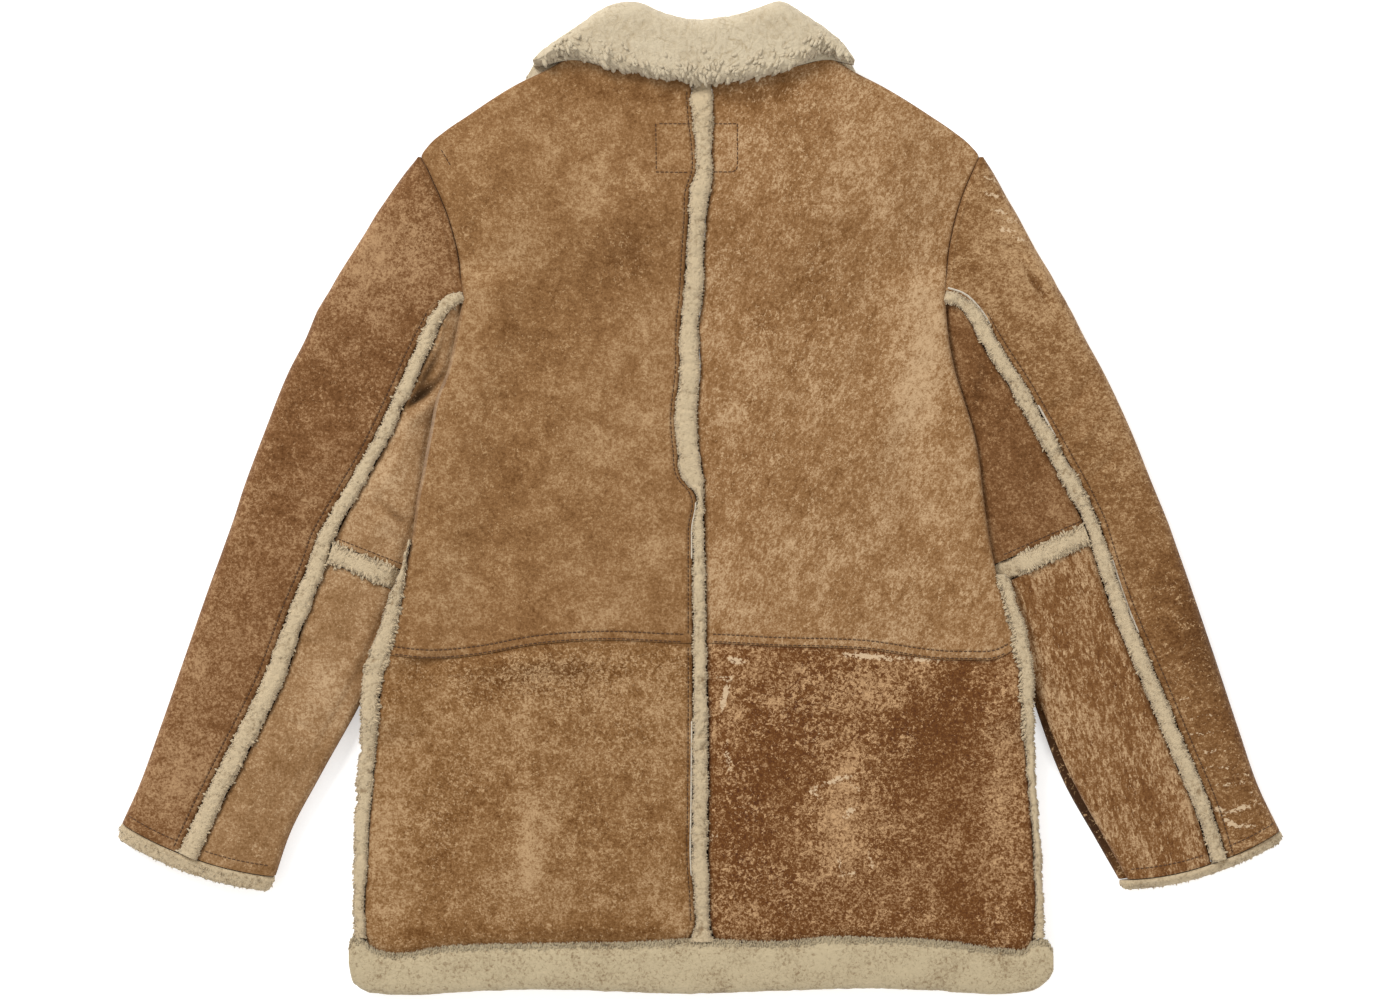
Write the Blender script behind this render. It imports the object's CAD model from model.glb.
"""The looks of a shearling coat that lies on its front with its back up.

Sizes in the tables are in millimetres and repeat the solids' own. X runs across the coat, Y from the
hem to the collar and Z up. Every piece is a surface of two parameters, one along it and one round it.
"""

import bpy
import numpy as np
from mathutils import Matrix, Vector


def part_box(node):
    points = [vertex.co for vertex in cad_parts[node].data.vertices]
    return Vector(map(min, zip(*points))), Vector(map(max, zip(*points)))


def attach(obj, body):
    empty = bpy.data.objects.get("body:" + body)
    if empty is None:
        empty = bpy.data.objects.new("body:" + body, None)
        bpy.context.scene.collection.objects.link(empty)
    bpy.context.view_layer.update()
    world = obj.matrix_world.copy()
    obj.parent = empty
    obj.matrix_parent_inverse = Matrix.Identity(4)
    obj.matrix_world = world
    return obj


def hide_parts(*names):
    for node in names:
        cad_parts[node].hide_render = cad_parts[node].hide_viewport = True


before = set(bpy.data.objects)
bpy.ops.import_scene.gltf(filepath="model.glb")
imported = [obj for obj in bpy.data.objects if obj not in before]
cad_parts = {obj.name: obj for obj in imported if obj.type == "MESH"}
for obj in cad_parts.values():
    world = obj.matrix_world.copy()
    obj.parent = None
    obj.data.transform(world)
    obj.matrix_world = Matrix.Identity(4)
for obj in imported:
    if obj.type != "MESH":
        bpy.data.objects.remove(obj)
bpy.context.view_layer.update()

# Camera and framing
IMAGE_WIDTH = 1.204  # how much of the surface the picture takes in, in metres
COAT_LEVEL = 0.02  # height at which that holds
LENS = 100.0
SENSOR = 36.0
PICTURE_MIDDLE = (-0.0007, -0.0008)

# Driving sizes, as in the solids
SEAM_GAP = 0.3
LAYER_GAP = 0.8
HIDE_AND_FLEECE = 10
FRONT_WALL = 9
SLEEVE_UNDER_WALL = 9.3
SLEEVE_FOLD_WALL = 11
LOFT = 4.5
NECK_RISE = 11
TUCK_RISE = 6.8
WELT_RISE = 4.5
FALL_WALL = 14
STAND_WALL = 10.5
HEM_BAND_BACK = 15
CUFF_RIM_LENGTH = 8.5
NECK_SEAM_Y = 372
NECK_DIP = 4
SHOULDER_TIP_Y = 295
WAIST_Y = -133
WAIST_CENTRE_Y = -123
HEM_Y = -382
HEM_CENTRE_Y = -380.4
CENTRE_FRONT = 0.5
SIDE_OF_FRONT = -296
TOP_OF_FRONT = 358
SLOT_TOP = SLEEVE_UNDER_WALL + LAYER_GAP
ARMHOLE_ROWS = 9
ELBOW_ROW = 16

def table(rows):
    """Rows of sizes as an array; a size that is left out is worked out later."""
    return np.array([[np.nan if v is None else v for v in row] for row in rows], float)

# Side edges of the upper back: y, x and how far the edge rolls down
UPPER_LEFT = table([
    [372, -120, 6], [368, -132, 7], [359.5, -152, 7], [344, -179, 7], [331, -199, 7], [318, -219, 7],
    [305, -234, 6], [295, -240, 4], [284, -234, 2], [272.5, -229, 2], [259.5, -223, 2], [247, -218, 2],
    [231, -213, 2], [215, -209, 2], [193.5, -206, 3], [175.5, -204, 6], [157, -207, 7], [138, -211, 7],
    [112, -217, 7], [86, -227, 7], [60, -232, 7], [34, -237, 7], [17, -240, 7], [8, -242, 7], [-34, -248, 7],
    [-64, -254, 5], [-86, -256, 3], [-103, -260, 3], [-120, -264, 3], [WAIST_Y, -268, 3],
])
UPPER_RIGHT = table([
    [372, 118, 6], [368, 129, 7], [359.5, 148, 7], [344, 176, 7], [331, 197, 7], [318, 217, 7],
    [305, 233, 6], [295, 240, 4], [284, 235, 2], [272.5, 230, 2], [259.5, 225, 2], [247, 221, 2],
    [231, 217, 2], [215, 214, 2], [193.5, 212, 3], [175.5, 211, 6], [157, 212, 7], [138, 214, 7],
    [112, 219, 7], [86, 227, 7], [60, 235, 7], [34, 240, 7], [17, 242, 7], [8, 243, 7], [-34, 249, 7],
    [-64, 255, 5], [-86, 261, 3], [-103, 265, 3], [-120, 269, 3], [WAIST_Y, 270, 3],
])
# Side edges of the lower back, in the same columns
LOWER_LEFT = table([
    [WAIST_Y, -268, 3], [-150, -272, 3], [-172, -275, 3], [-206, -278, 3], [-241, -281, 3],
    [-275, -284, 3], [-310, -286, 3], [-344, -288, 3], [-377, -287.4, 3], [HEM_Y, -286, 3],
])
LOWER_RIGHT = table([
    [WAIST_Y, 270, 3], [-150, 275, 3], [-172, 276, 3], [-206, 279, 3], [-241, 282, 3],
    [-275, 285, 3], [-310, 287, 3], [-344, 289, 3], [-377, 287, 3], [HEM_Y, 286, 3],
])
# Outer side of the side seams' fleece edges: y, x
SIDE_WELT_LEFT = table([
    [-38, -251], [-64, -259], [-86, -268], [-120, -279], [-138, -287], [-172, -291], [-206, -292],
    [-241, -295], [-275, -297], [-310, -298], [-344, -299], [-378, -298],
])
SIDE_WELT_RIGHT = table([
    [-47, 254.5], [-69, 266], [-86, 271], [-103, 278], [-120, 282], [-138, 285], [-172, 287],
    [-206, 287], [-241, 289], [-275, 291], [-310, 294], [-344, 295], [-378, 296],
])
# Both sides of the fleece edge down the centre back: y, left, right
CENTRE_WELT = table([
    [362, -6, 9], [353, -7, 10], [327, -6, 10], [301, -3, 9.5], [281, -3, 10], [267, -8, 9],
    [241, -9.5, 5], [206, -12, 3], [172, -14, 2], [155, -16, -1], [112, -17, 0], [69, -21, -3],
    [43, -19, -1], [17, -14, 3], [8, -6, 3], [-26, -6, 3.5], [-86, -6, 5], [-120, -6, 5],
    [-189, -6, 7], [-260, -6.5, 7], [-310, -7, 7], [-348, -4.5, 7.5], [-370, -5, 9.5], [-380.4, -10, 13],
])
# Seams that run across the back: x, y
WAIST_SEAM = table([
    [-268, -133], [-232, -136.5], [-189, -133], [-146, -125], [-88, -120.5], [-12, -123], [12, -123],
    [60, -125.5], [138, -128], [224, -137.5], [260, -134], [270, -128],
])
HEM_SEAM = table([
    [-287, -382], [-280, -389], [-245, -392], [-228, -388], [-189, -386], [-120, -384.5], [-52, -383.5],
    [-12, -381], [14, -381], [45, -383.5], [83, -382], [117, -379], [153, -380], [189, -381],
    [226, -385], [262, -389.5], [281, -388.5], [287, -382],
])
# Hem band: x, top where it stands past the panels, bottom
HEM_BAND = table([
    [-301.5, -388, -401], [-299.5, -381, -412], [-295, -379.5, -418], [-287, -382, -423],
    [-275, None, -425], [-248, None, -426], [-206, None, -423.5], [-133, None, -421.5],
    [-61, None, -423.5], [-13, None, -425], [12, None, -424.5], [69, None, -422.5], [141, None, -420.5],
    [189, None, -421.5], [262, None, -425], [275, None, -424], [288, -382.5, -421.5],
    [296, -381, -416], [301.5, -386, -410], [304.5, -393, -403],
])
# Collar at the back of the neck: x, fold line, lower edge of the fall
COLLAR = table([
    [-143, 377.5, 374.7], [-137, 383.5, 371.5], [-129, 389.5, 375], [-120, 395.5, 378], [-103, 407, 375],
    [-86, 419, 369], [-69, 425.5, 364.5], [-52, 425.5, 362], [-34, 418, 358.5], [-17, 413, 356],
    [0, 411, 354.5], [17, 413, 354.5], [34, 416, 356], [52, 422, 359.5], [69, 426.5, 363],
    [86, 418, 369], [99, 409.5, 377.5], [112, 400, 381], [120, 393, 377.5], [129, 382, 375], [132, 377, 373.4],
])
# Front ends of the collar: outer x, outer y, inner x, inner y, top
COLLAR_FRONT_LEFT = table([
    [-151.5, 360, -142, 377.5, 14], [-147, 344, -124, 389, 18], [-120, 310, -95, 402, 19.5],
    [-86, 275, -60, 378, 18], [-47, 249, -30, 335, 15], [-5, 230, -2.5, 288, 12],
])
COLLAR_FRONT_RIGHT = table([
    [135, 366, 129, 378, 14], [139, 346, 119, 387, 18], [119, 310, 93, 402, 19.5],
    [84, 275, 58, 378, 18], [47, 249, 30, 335, 15], [5, 230, 2.5, 288, 12],
])
# Soft folds of the laid-out coat: x, y, heading in degrees, length, width, height
FOLDS = table([
    [-165, 100, -62, 120, 26, 2.4], [172, 110, 78, 110, 24, 2.6], [-90, -30, -35, 90, 30, 1.6],
    [110, 30, 40, 90, 28, 1.6], [-145, -265, 88, 110, 26, 2.2], [150, -270, 95, 120, 30, 2.0],
    [-70, 240, 20, 80, 26, 1.4], [60, 210, -25, 80, 28, 1.5], [-232, 88, 28, 26, 9, 2.2],
    [-262, -12, 35, 30, 10, 2.0], [-310, 150, -20, 40, 14, 1.6], [304, 60, 25, 40, 14, 1.6],
])
# Sleeves: outer fold x, y; seam x, y; inner edge of the upper layer x, y; inner edge of the lower
# layer x, y; half width of the fleece edge, top, height of the tucked margin, bow towards the hand
SLEEVE_LEFT = table([
    [-243.5, 295, -240, 295, -240, 295, -240, 295, 0, 20, 20, 0],
    [-253, 283.5, -234, 284, -234, 284, -234, 284, 0, 21, 21, 0],
    [-261.5, 272, -229, 272.5, -229, 272.5, -229, 272.5, 0, 21.5, 21, 0],
    [-270.5, 259, -223, 259.5, -223, 259.5, -223, 259.5, 0, 22, 21, 0],
    [-279, 246.5, -218, 247, -218, 247, -218, 247, 0, 22.5, 21, 0],
    [-288.5, 230.5, -213, 231, -213, 231, -213, 231, 0, 23, 21, 0],
    [-299, 214, -209, 215, -209, 215, -209, 215, 0, 23, 21, 0],
    [-312, 193.5, -206, 193.5, -206, 193.5, -206, 193.5, 0, 23, 21, 0],
    [-321.5, 177, -204, 175.5, -204, 175.5, -204, 175.5, 0, 23, 21, 0],
    [-324, 173, -206.5, 174, -203.2, 172.5, -203.2, 172.5, 1.5, 23, 14.5, 0],
    [-327, 168, -214, 171, -200.5, 167, -200.5, 167, 4, 23, 14.5, 0],
    [-330, 163, -224, 160, -194, 157, -194, 157, 5, 23, 14.5, 0],
    [-340, 139, -237, 133, -200, 124, -200, 124, 6, 23, 14.5, 0],
    [-354, 112, -252, 100, -212, 95, -212, 95, 6, 22.5, 14.5, 0],
    [-375, 60, -279, 43, -224, 33, -224, 33, 6, 22, 14.5, 0],
    [-394, 9, -306, -4, -232, -20, -232, -20, 6.5, 22, 14.5, 0],
    [-403, -19, -322, -34, -246, -64, -246, -64, 7, 22, 14.5, 0],
    [-410.5, -40, -327, -50, -250, -84, -250, -84, 7.5, 22, 14.5, 0],
    [-424, -77, -346, -98, -268, -125, -268, -125, 8, 22, 14.5, 0],
    [-444.5, -136, -368, -158, -295, -179, -295, -179, 8.5, 22, 18, 0],
    [-466, -198, -398, -218, -328.5, -239, -328.5, -239, 8.5, 22, 20, 0],
    [-485, -249.5, -423.5, -268, -355, -290, -355, -290, 8, 21.5, 20, 2.5],
    [-498, -278, -438, -299, -366.5, -324, -366.5, -324, 8, 21, 19.5, 7.7],
])
SLEEVE_RIGHT = table([
    [244.5, 295, 240, 295, 240, 295, 240, 295, 0, 20, 20, 0],
    [252, 283.5, 235, 284, 235, 284, 235, 284, 0, 21, 21, 0],
    [258.5, 272, 230, 272.5, 230, 272.5, 230, 272.5, 0, 21.5, 21, 0],
    [265.5, 259, 225, 259.5, 225, 259.5, 225, 259.5, 0, 22, 21, 0],
    [273, 246.5, 221, 247, 221, 247, 221, 247, 0, 22.5, 21, 0],
    [281.5, 230.5, 217, 231, 217, 231, 217, 231, 0, 23, 21, 0],
    [290.5, 214, 214, 215, 214, 215, 214, 215, 0, 23, 21, 0],
    [303, 193.5, 212, 193.5, 212, 193.5, 212, 193.5, 0, 23, 21, 0],
    [312, 177, 211, 175.5, 211, 175.5, 211, 175.5, 0, 23, 21, 0],
    [314.5, 173, 213.5, 174.5, 209.5, 172.5, 209.5, 172.5, 1.5, 23, 14.5, 0],
    [317, 168, 222, 172, 207, 168, 207, 168, 4, 23, 14.5, 0],
    [320, 163, 235, 160, 198, 159, 198, 159, 6, 23, 14.5, 0],
    [331, 141, 249, 135, 203, 128, 203, 128, 6.5, 23, 14.5, 0],
    [347, 112, 270, 102, 210, 95, 210, 95, 6.5, 22.5, 14.5, 0],
    [371.5, 60, 301, 47, 227, 34, 227, 34, 6.5, 22, 14.5, 0],
    [392, 9, 328, -2, 236, -20, 236, -20, 6.5, 22, 14.5, 0],
    [403.5, -19, 336.5, -19, 247, -58, 247, -58, 6.5, 22, 14.5, 0],
    [409.5, -36, 341.5, -35, 253, -76, 253, -76, 6.5, 22, 14.5, 0],
    [424, -77, 361, -95, 272, -119, 272, -119, 6.5, 22, 14.5, 0],
    [444, -136, 385.5, -153, 298, -178, 290, -179, 7, 22, 17, 0],
    [464.5, -198, 411, -214, 326, -239, 314, -243, 7, 22, 19, 0],
    [482.5, -249.5, 432.5, -265, 353.5, -289, 342, -293, 7, 21.5, 19, 3],
    [499.5, -284.5, 443.5, -301, 373, -323, 361.5, -327, 7, 21, 18.5, 10],
])
# Fronts: y, side edge x, centre edge x
FRONT_LEFT = table([
    [358, -156, -152.3], [344, -179, -147.8], [331, -199, -138], [318, -219, -128], [305, -234, -117.5],
    [295, -240, -107], [284, -234, -97], [272.5, -229, -84.5], [259.5, -223, -65], [247, -218, -45],
    [231, -213, -8], [215, -209, -CENTRE_FRONT], [193.5, -206, -CENTRE_FRONT],
    [175.5, -204, -CENTRE_FRONT], [167, -200, -CENTRE_FRONT], [157, -193.4, -CENTRE_FRONT],
    [124, -199.4, -CENTRE_FRONT], [95, -211.4, -CENTRE_FRONT], [33, -223.4, -CENTRE_FRONT],
    [-20, -231.4, -CENTRE_FRONT], [-64, -245.4, -CENTRE_FRONT], [-84, -249.4, -CENTRE_FRONT],
    [-125, -267.3, -CENTRE_FRONT], [-174, -287, -CENTRE_FRONT], [-206, -289, -CENTRE_FRONT],
    [-275, -294, -CENTRE_FRONT], [-344, -296, -CENTRE_FRONT], [HEM_Y, -293, -CENTRE_FRONT],
])
FRONT_RIGHT = table([
    [364, 139, 135.8], [344, 176, 139.8], [331, 197, 134], [318, 217, 126.5], [305, 233, 117],
    [295, 240, 107], [284, 235, 96], [272.5, 230, 83.5], [259.5, 225, 65], [247, 221, 45],
    [231, 217, 8], [215, 214, CENTRE_FRONT], [193.5, 212, CENTRE_FRONT],
    [175.5, 211, CENTRE_FRONT], [168, 206.3, CENTRE_FRONT], [159, 197.4, CENTRE_FRONT],
    [128, 202.4, CENTRE_FRONT], [95, 209.4, CENTRE_FRONT], [34, 226.4, CENTRE_FRONT],
    [-20, 235.4, CENTRE_FRONT], [-58, 246.4, CENTRE_FRONT], [-76, 252.4, CENTRE_FRONT],
    [-119, 271.3, CENTRE_FRONT], [-170, 284, CENTRE_FRONT], [-206, 284, CENTRE_FRONT],
    [-275, 288, CENTRE_FRONT], [-344, 292, CENTRE_FRONT], [HEM_Y, 291, CENTRE_FRONT],
])

# How far the solids were moved to put the origin under the coat's middle
SHIFT = np.array([
    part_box("front_left")[0].x * 1000 - SIDE_OF_FRONT,
    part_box("front_left")[1].y * 1000 - TOP_OF_FRONT,
    0.0,
])
rng = np.random.default_rng(27)


def smooth(low, high, value):
    """0 below low, 1 above high and a soft S between."""
    t = np.clip((value - low) / (high - low), 0, 1)
    return t * t * (3 - 2 * t)


def mix(a, b, share):
    return a + (b - a) * share


def spline(keys, values, at):
    """Cubic pieces through the values at rising keys; each slope is the mean of those beside it."""
    slopes = np.gradient(values, keys, axis=0)
    i = np.clip(np.searchsorted(keys, at) - 1, 0, len(keys) - 2)
    width = (keys[i + 1] - keys[i]).reshape((-1,) + (1,) * (values.ndim - 1))
    t = np.clip((at - keys[i]) / (keys[i + 1] - keys[i]), 0, 1).reshape(width.shape)
    start = values[i] * (1 + 2 * t) * (1 - t) ** 2 + slopes[i] * width * t * (1 - t) ** 2
    end = values[i + 1] * t * t * (3 - 2 * t) + slopes[i + 1] * width * t * t * (t - 1)
    return start + end


def curve(rows, key, value):
    """The smooth curve through two columns of a table, for values of any shape."""
    keys, first = np.unique(rows[:, key], return_index=True)
    values = rows[first, value]
    return lambda at: spline(keys, values, np.ravel(at)).reshape(np.shape(at))


def resample(rows, step, reference=None):
    """Rows of points on smooth curves, a step apart along the reference path through them."""
    path = rows if reference is None else reference
    lengths = np.linalg.norm(np.diff(path.reshape(len(path), -1), axis=0), axis=1)
    keys = np.concatenate([[0], np.cumsum(lengths)])
    return spline(keys, rows, np.linspace(0, keys[-1], max(2, round(keys[-1] / step) + 1)))


waist_seam = curve(WAIST_SEAM, 0, 1)
hem_seam = curve(HEM_SEAM, 0, 1)
centre_left = curve(CENTRE_WELT, 0, 1)
centre_right = curve(CENTRE_WELT, 0, 2)
body_left = curve(np.vstack([UPPER_LEFT[:, :2], SIDE_WELT_LEFT[4:]]), 0, 1)
body_right = curve(np.vstack([UPPER_RIGHT[:, :2], SIDE_WELT_RIGHT[5:]]), 0, 1)


def ridges(rows, x, y):
    """Sum of soft ridges: a bell along the heading times a bell across it."""
    height = np.zeros(np.shape(x))
    for fold_x, fold_y, heading, length, width, rise in rows:
        turn = np.radians(heading)
        along = (x - fold_x) * np.cos(turn) + (y - fold_y) * np.sin(turn)
        across = (y - fold_y) * np.cos(turn) - (x - fold_x) * np.sin(turn)
        height += rise * np.exp(-((along / length) ** 2) - (across / width) ** 2)
    return height


def back_underside(x, y):
    """The wall of a front, plus a crown in the middle, a rise over the collar's ends at the neck,
    a rise over the tucked sleeves at the sides, and the folds."""
    inside = np.maximum(0, np.minimum(x - body_left(y), body_right(y) - x))
    crown = LOFT * smooth(0, 150, inside) * smooth(HEM_Y, HEM_Y + 80, y) * (1 - smooth(240, 335, y))
    neck = NECK_RISE * smooth(150, 290, y) * (1 - smooth(155, 235, np.abs(x)))
    tucked = smooth(-215, -182, y) * (1 - smooth(178, 205, y))
    tuck = TUCK_RISE * (1 - smooth(20, 70, inside)) * tucked
    return FRONT_WALL + 0.5 + crown + neck + tuck + ridges(FOLDS, x, y) * smooth(0, 60, inside)


def back_top(x, y):
    return back_underside(x, y) + HIDE_AND_FLEECE


def roll(distance, radius, drop):
    """How far a round edge has dropped at a distance from it: a quarter of an ellipse."""
    share = np.clip(distance, 0, radius) / radius
    return drop * (1 - np.sqrt(1 - (1 - share) ** 2))


def chance(cell, seed):
    """A number from 0 to 1 that belongs to each whole-numbered cell."""
    mixed = cell[..., 0] * 374761393 + cell[..., 1] * 668265263 + cell[..., 2] * 2147483647
    mixed = (mixed + seed * 974711) & 0xFFFFFFFF
    mixed = ((mixed ^ (mixed >> 15)) * 2246822519) & 0xFFFFFFFF
    mixed = ((mixed ^ (mixed >> 13)) * 3266489917) & 0xFFFFFFFF
    return ((mixed ^ (mixed >> 16)) & 0xFFFFFF) / 0xFFFFFF


def lumps(points, size, seed):
    """Smooth noise from -1 to 1: random numbers at the corners of cells, blended between them."""
    p = points / size
    cell = np.floor(p).astype(np.int64)
    t = p - cell
    t = t * t * (3 - 2 * t)
    total = np.zeros(points.shape[:-1])
    for corner in np.ndindex(2, 2, 2):
        weight = np.prod(np.where(np.array(corner) == 1, t, 1 - t), axis=-1)
        total += weight * chance(cell + np.array(corner), seed)
    return 2 * total - 1


def domes(points, size, seed):
    """Round tops on points strewn one to a cell: 1 on a point, falling to 0 between them."""
    p = points / size
    cell = np.floor(p).astype(np.int64)
    nearest = np.full(points.shape[:-1], 9.0)
    for offset in np.ndindex(3, 3, 3):
        near = cell + np.array(offset) - 1
        spot = near + np.stack([chance(near, seed + k) for k in (1, 2, 3)], axis=-1)
        nearest = np.minimum(nearest, ((p - spot) ** 2).sum(axis=-1))
    return np.clip(1 - nearest, 0, 1)


# Building meshes

def unit(vectors):
    return vectors / np.maximum(np.linalg.norm(vectors, axis=-1, keepdims=True), 1e-9)


def inside_out(rings):
    """True if rings, joined in their order, would face inwards."""
    a, b = rings[:-1], np.roll(rings[:-1], -1, axis=1)
    c, d = np.roll(rings[1:], -1, axis=1), rings[1:]
    middle = rings.mean(axis=(0, 1))
    a, b, c, d = (corner - middle for corner in (a, b, c, d))
    return (a * np.cross(b, c)).sum() + (a * np.cross(c, d)).sum() < 0


def normals_of(rings):
    """Directions out of a form of closed rings, from the steps along and round it."""
    round_it = np.roll(rings, -1, axis=1) - np.roll(rings, 1, axis=1)
    out = unit(np.cross(round_it, np.gradient(rings, axis=0)))
    return -out if inside_out(rings) else out


def ring_faces(along, round_it, cap, flip, endless=False):
    """Four-sided faces between neighbouring rings, and caps: 'zip' joins a ring's two halves with
    a row of faces, 'face' is one flat face, and a list of the columns of a fine half that have a
    point in the other half joins the two."""
    v, u = np.meshgrid(np.arange(along if endless else along - 1), np.arange(round_it), indexing="ij")
    after, beside = (v + 1) % along, (u + 1) % round_it
    corners = [v * round_it + u, v * round_it + beside, after * round_it + beside, after * round_it + u]
    faces = np.stack(corners, axis=-1).reshape(-1, 4).tolist()
    last = (along - 1) * round_it
    if not endless and cap == "zip":
        for i in range(round_it // 2 - 1):
            far = round_it - 1 - i
            faces.append([i, far, far - 1, i + 1])
            faces.append([last + i, last + i + 1, last + far - 1, last + far])
    elif not endless and cap != "face":
        for j, (near, far) in enumerate(zip(cap[:-1], cap[1:])):
            below, beyond = round_it - 1 - j, round_it - 2 - j
            faces.append([near, below, beyond, *range(far, near, -1)])
            faces.append([last + i for i in (*range(near, far + 1), beyond, below)])
    elif not endless:
        faces.append(list(range(round_it))[::-1])
        faces.append(list(range(last, last + round_it)))
    return [face[::-1] for face in faces] if flip else faces


def make(name, points, faces, extras=None, crease=50):
    """A mesh object from points in millimetres, faces, and numbers kept at its points."""
    mesh = bpy.data.meshes.new(name)
    mesh.from_pydata(((points + SHIFT) * 0.001).tolist(), [], faces)
    mesh.polygons.foreach_set("use_smooth", [True] * len(mesh.polygons))
    for key, values in (extras or {}).items():
        kind, field = ("FLOAT", "value") if values.ndim == 1 else ("FLOAT_VECTOR", "vector")
        mesh.attributes.new(key, kind, "POINT").data.foreach_set(field, np.ravel(values).astype(np.float32))
    mesh.set_sharp_from_angle(angle=np.radians(crease))
    piece = bpy.data.objects.new(name, mesh)
    bpy.context.scene.collection.objects.link(piece)
    return piece


def dress(piece, slot, material, *nodes):
    """Puts a finished piece on the coat: its body, its slot, its material, what it stands for."""
    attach(piece, "root")
    if nodes:
        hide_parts(*nodes)
    piece.data.materials.append(material)
    return piece

# Hide panels

# Creases and dents that show on the hide: x, y, heading in degrees, length, width, height
CREASES = table([
    [-240, 90, 36, 22, 5, -8.5], [-238, 76, 36, 20, 8, 4.4], [-231, 112, 58, 22, 8, -4.6],
    [272, 232, -25, 14, 2.8, -1.6], [266, 215, -20, 14, 2.8, -1.6], [281, 222, -50, 14, 2.8, -1.4],
    [274, 205, -30, 12, 2.8, 0.9], [262, 243, -30, 10, 2.8, -1.0],
    [-261, -15, -40, 17, 3.5, -4.2], [-266, -22, -40, 18, 6, 1.8],
    [-262, 30, 62, 40, 12, 2.2], [-276, -4, 62, 26, 5, -1.2], [-334, 46, -28, 30, 3.5, -0.8], [-336, 38, -26, 34, 3.5, 0.7],
    [-340, 22, -22, 30, 4, -0.8], [-346, 10, -18, 30, 4, 0.7], [-350, -2, -16, 26, 4, -0.7],
    [-335, -123, -8, 14, 2.6, -1.2], [-346, -194, -24, 30, 3.0, -1.3], [-330, -176, -30, 16, 4, 1.0], [-352, -150, -12, 20, 3.5, -0.8], [290, 184, -57, 18, 3, -3.4], [297, 187, -57, 18, 5, 1.6], [304, 78, 40, 24, 4, -1.6],
    [312, 66, 40, 26, 4, 1.3], [322, 84, 52, 26, 4, -1.5], [330, 54, 46, 24, 4, 1.2],
    [348, 30, 44, 24, 4, -1.3], [-150, 60, -58, 60, 12, -1.1], [180, 60, 70, 50, 12, -1.2],
    [-90, -200, 80, 70, 14, -0.9], [40, -220, 84, 60, 12, 0.9], [120, -250, 60, 50, 12, 0.8],
    [-190, 236, 62, 34, 9, -0.8], [206, 250, -58, 30, 9, -0.8], [120, 120, 60, 50, 14, 0.9],
])
HIDE_STEP = 2.6  # between the points of a hide piece
EDGE_STEPS = [0, 0.5, 1.2, 2.1, 3.2, 4.6, 6.4, 8.8]


def across_panel():
    """Distances from a panel's side edge, close together where it rolls down at either edge."""
    near = np.array(EDGE_STEPS) / 270
    middle = np.linspace(near[-1], 1 - near[-1], 92)
    return np.concatenate([near[:-1], middle, 1 - near[:-1][::-1]])


def hidden_columns():
    """The columns of a panel that its hidden side has too: all near the edges, few in between."""
    edge = [*range(8), 9, 11, 13, 15]
    last = across_panel().size - 1
    return [*edge, *range(24, last - 20, 8), *(last - k for k in edge[::-1])]


def relief(x, y, seed):
    """What a worn skin adds to its height: creases, soft undulations and small unevenness."""
    flat = np.stack([x, y, np.zeros(np.shape(x))], axis=-1)
    wide = 0.7 * lumps(flat, 46, seed) + 0.35 * lumps(flat, 19, seed + 5)
    return ridges(CREASES, x, y) + wide + 0.16 * lumps(flat, 7, seed + 9)


def centre_y(y):
    """Where a row meets the centre fleece edge: level above the waist, then spread to the hem."""
    near_waist = mix(y, y + WAIST_CENTRE_Y - WAIST_Y, 1 - (y - WAIST_Y) / 50)
    below = mix(WAIST_CENTRE_Y, HEM_CENTRE_Y, (y - WAIST_Y) / (HEM_Y - WAIST_Y))
    return np.where(y > WAIST_Y + 50, y, np.where(y > WAIST_Y, near_waist, below))


def neck_lift(x):
    """How far the neck seam climbs under the shallow ends of the collar's fall."""
    return 5.5 * np.exp(-((np.abs(x) - 108) / 20) ** 2)


def upper_bend(x, y, share):
    waist = waist_seam(x) - mix(WAIST_Y, WAIST_CENTRE_Y, share) + SEAM_GAP / 2
    neck = neck_lift(x) * smooth(356, NECK_SEAM_Y, y) - NECK_DIP * share * smooth(368, NECK_SEAM_Y, y)
    return neck + waist * (1 - smooth(WAIST_Y, WAIST_Y + 50, y))


def lower_bend(x, y, share):
    waist = waist_seam(x) - mix(WAIST_Y, WAIST_CENTRE_Y, share) - SEAM_GAP / 2
    hem = hem_seam(x) - mix(HEM_Y, HEM_CENTRE_Y, share) + SEAM_GAP / 2
    return waist * smooth(WAIST_Y - 50, WAIST_Y, y) + hem * (1 - smooth(HEM_Y, HEM_Y + 40, y))


def no_drop(y):
    return 0 * y


def lower_drop(y):
    return 1.0 * smooth(WAIST_Y - 14, WAIST_Y, y) + 2.5 * (1 - smooth(HEM_Y, HEM_Y + 12, y))


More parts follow.
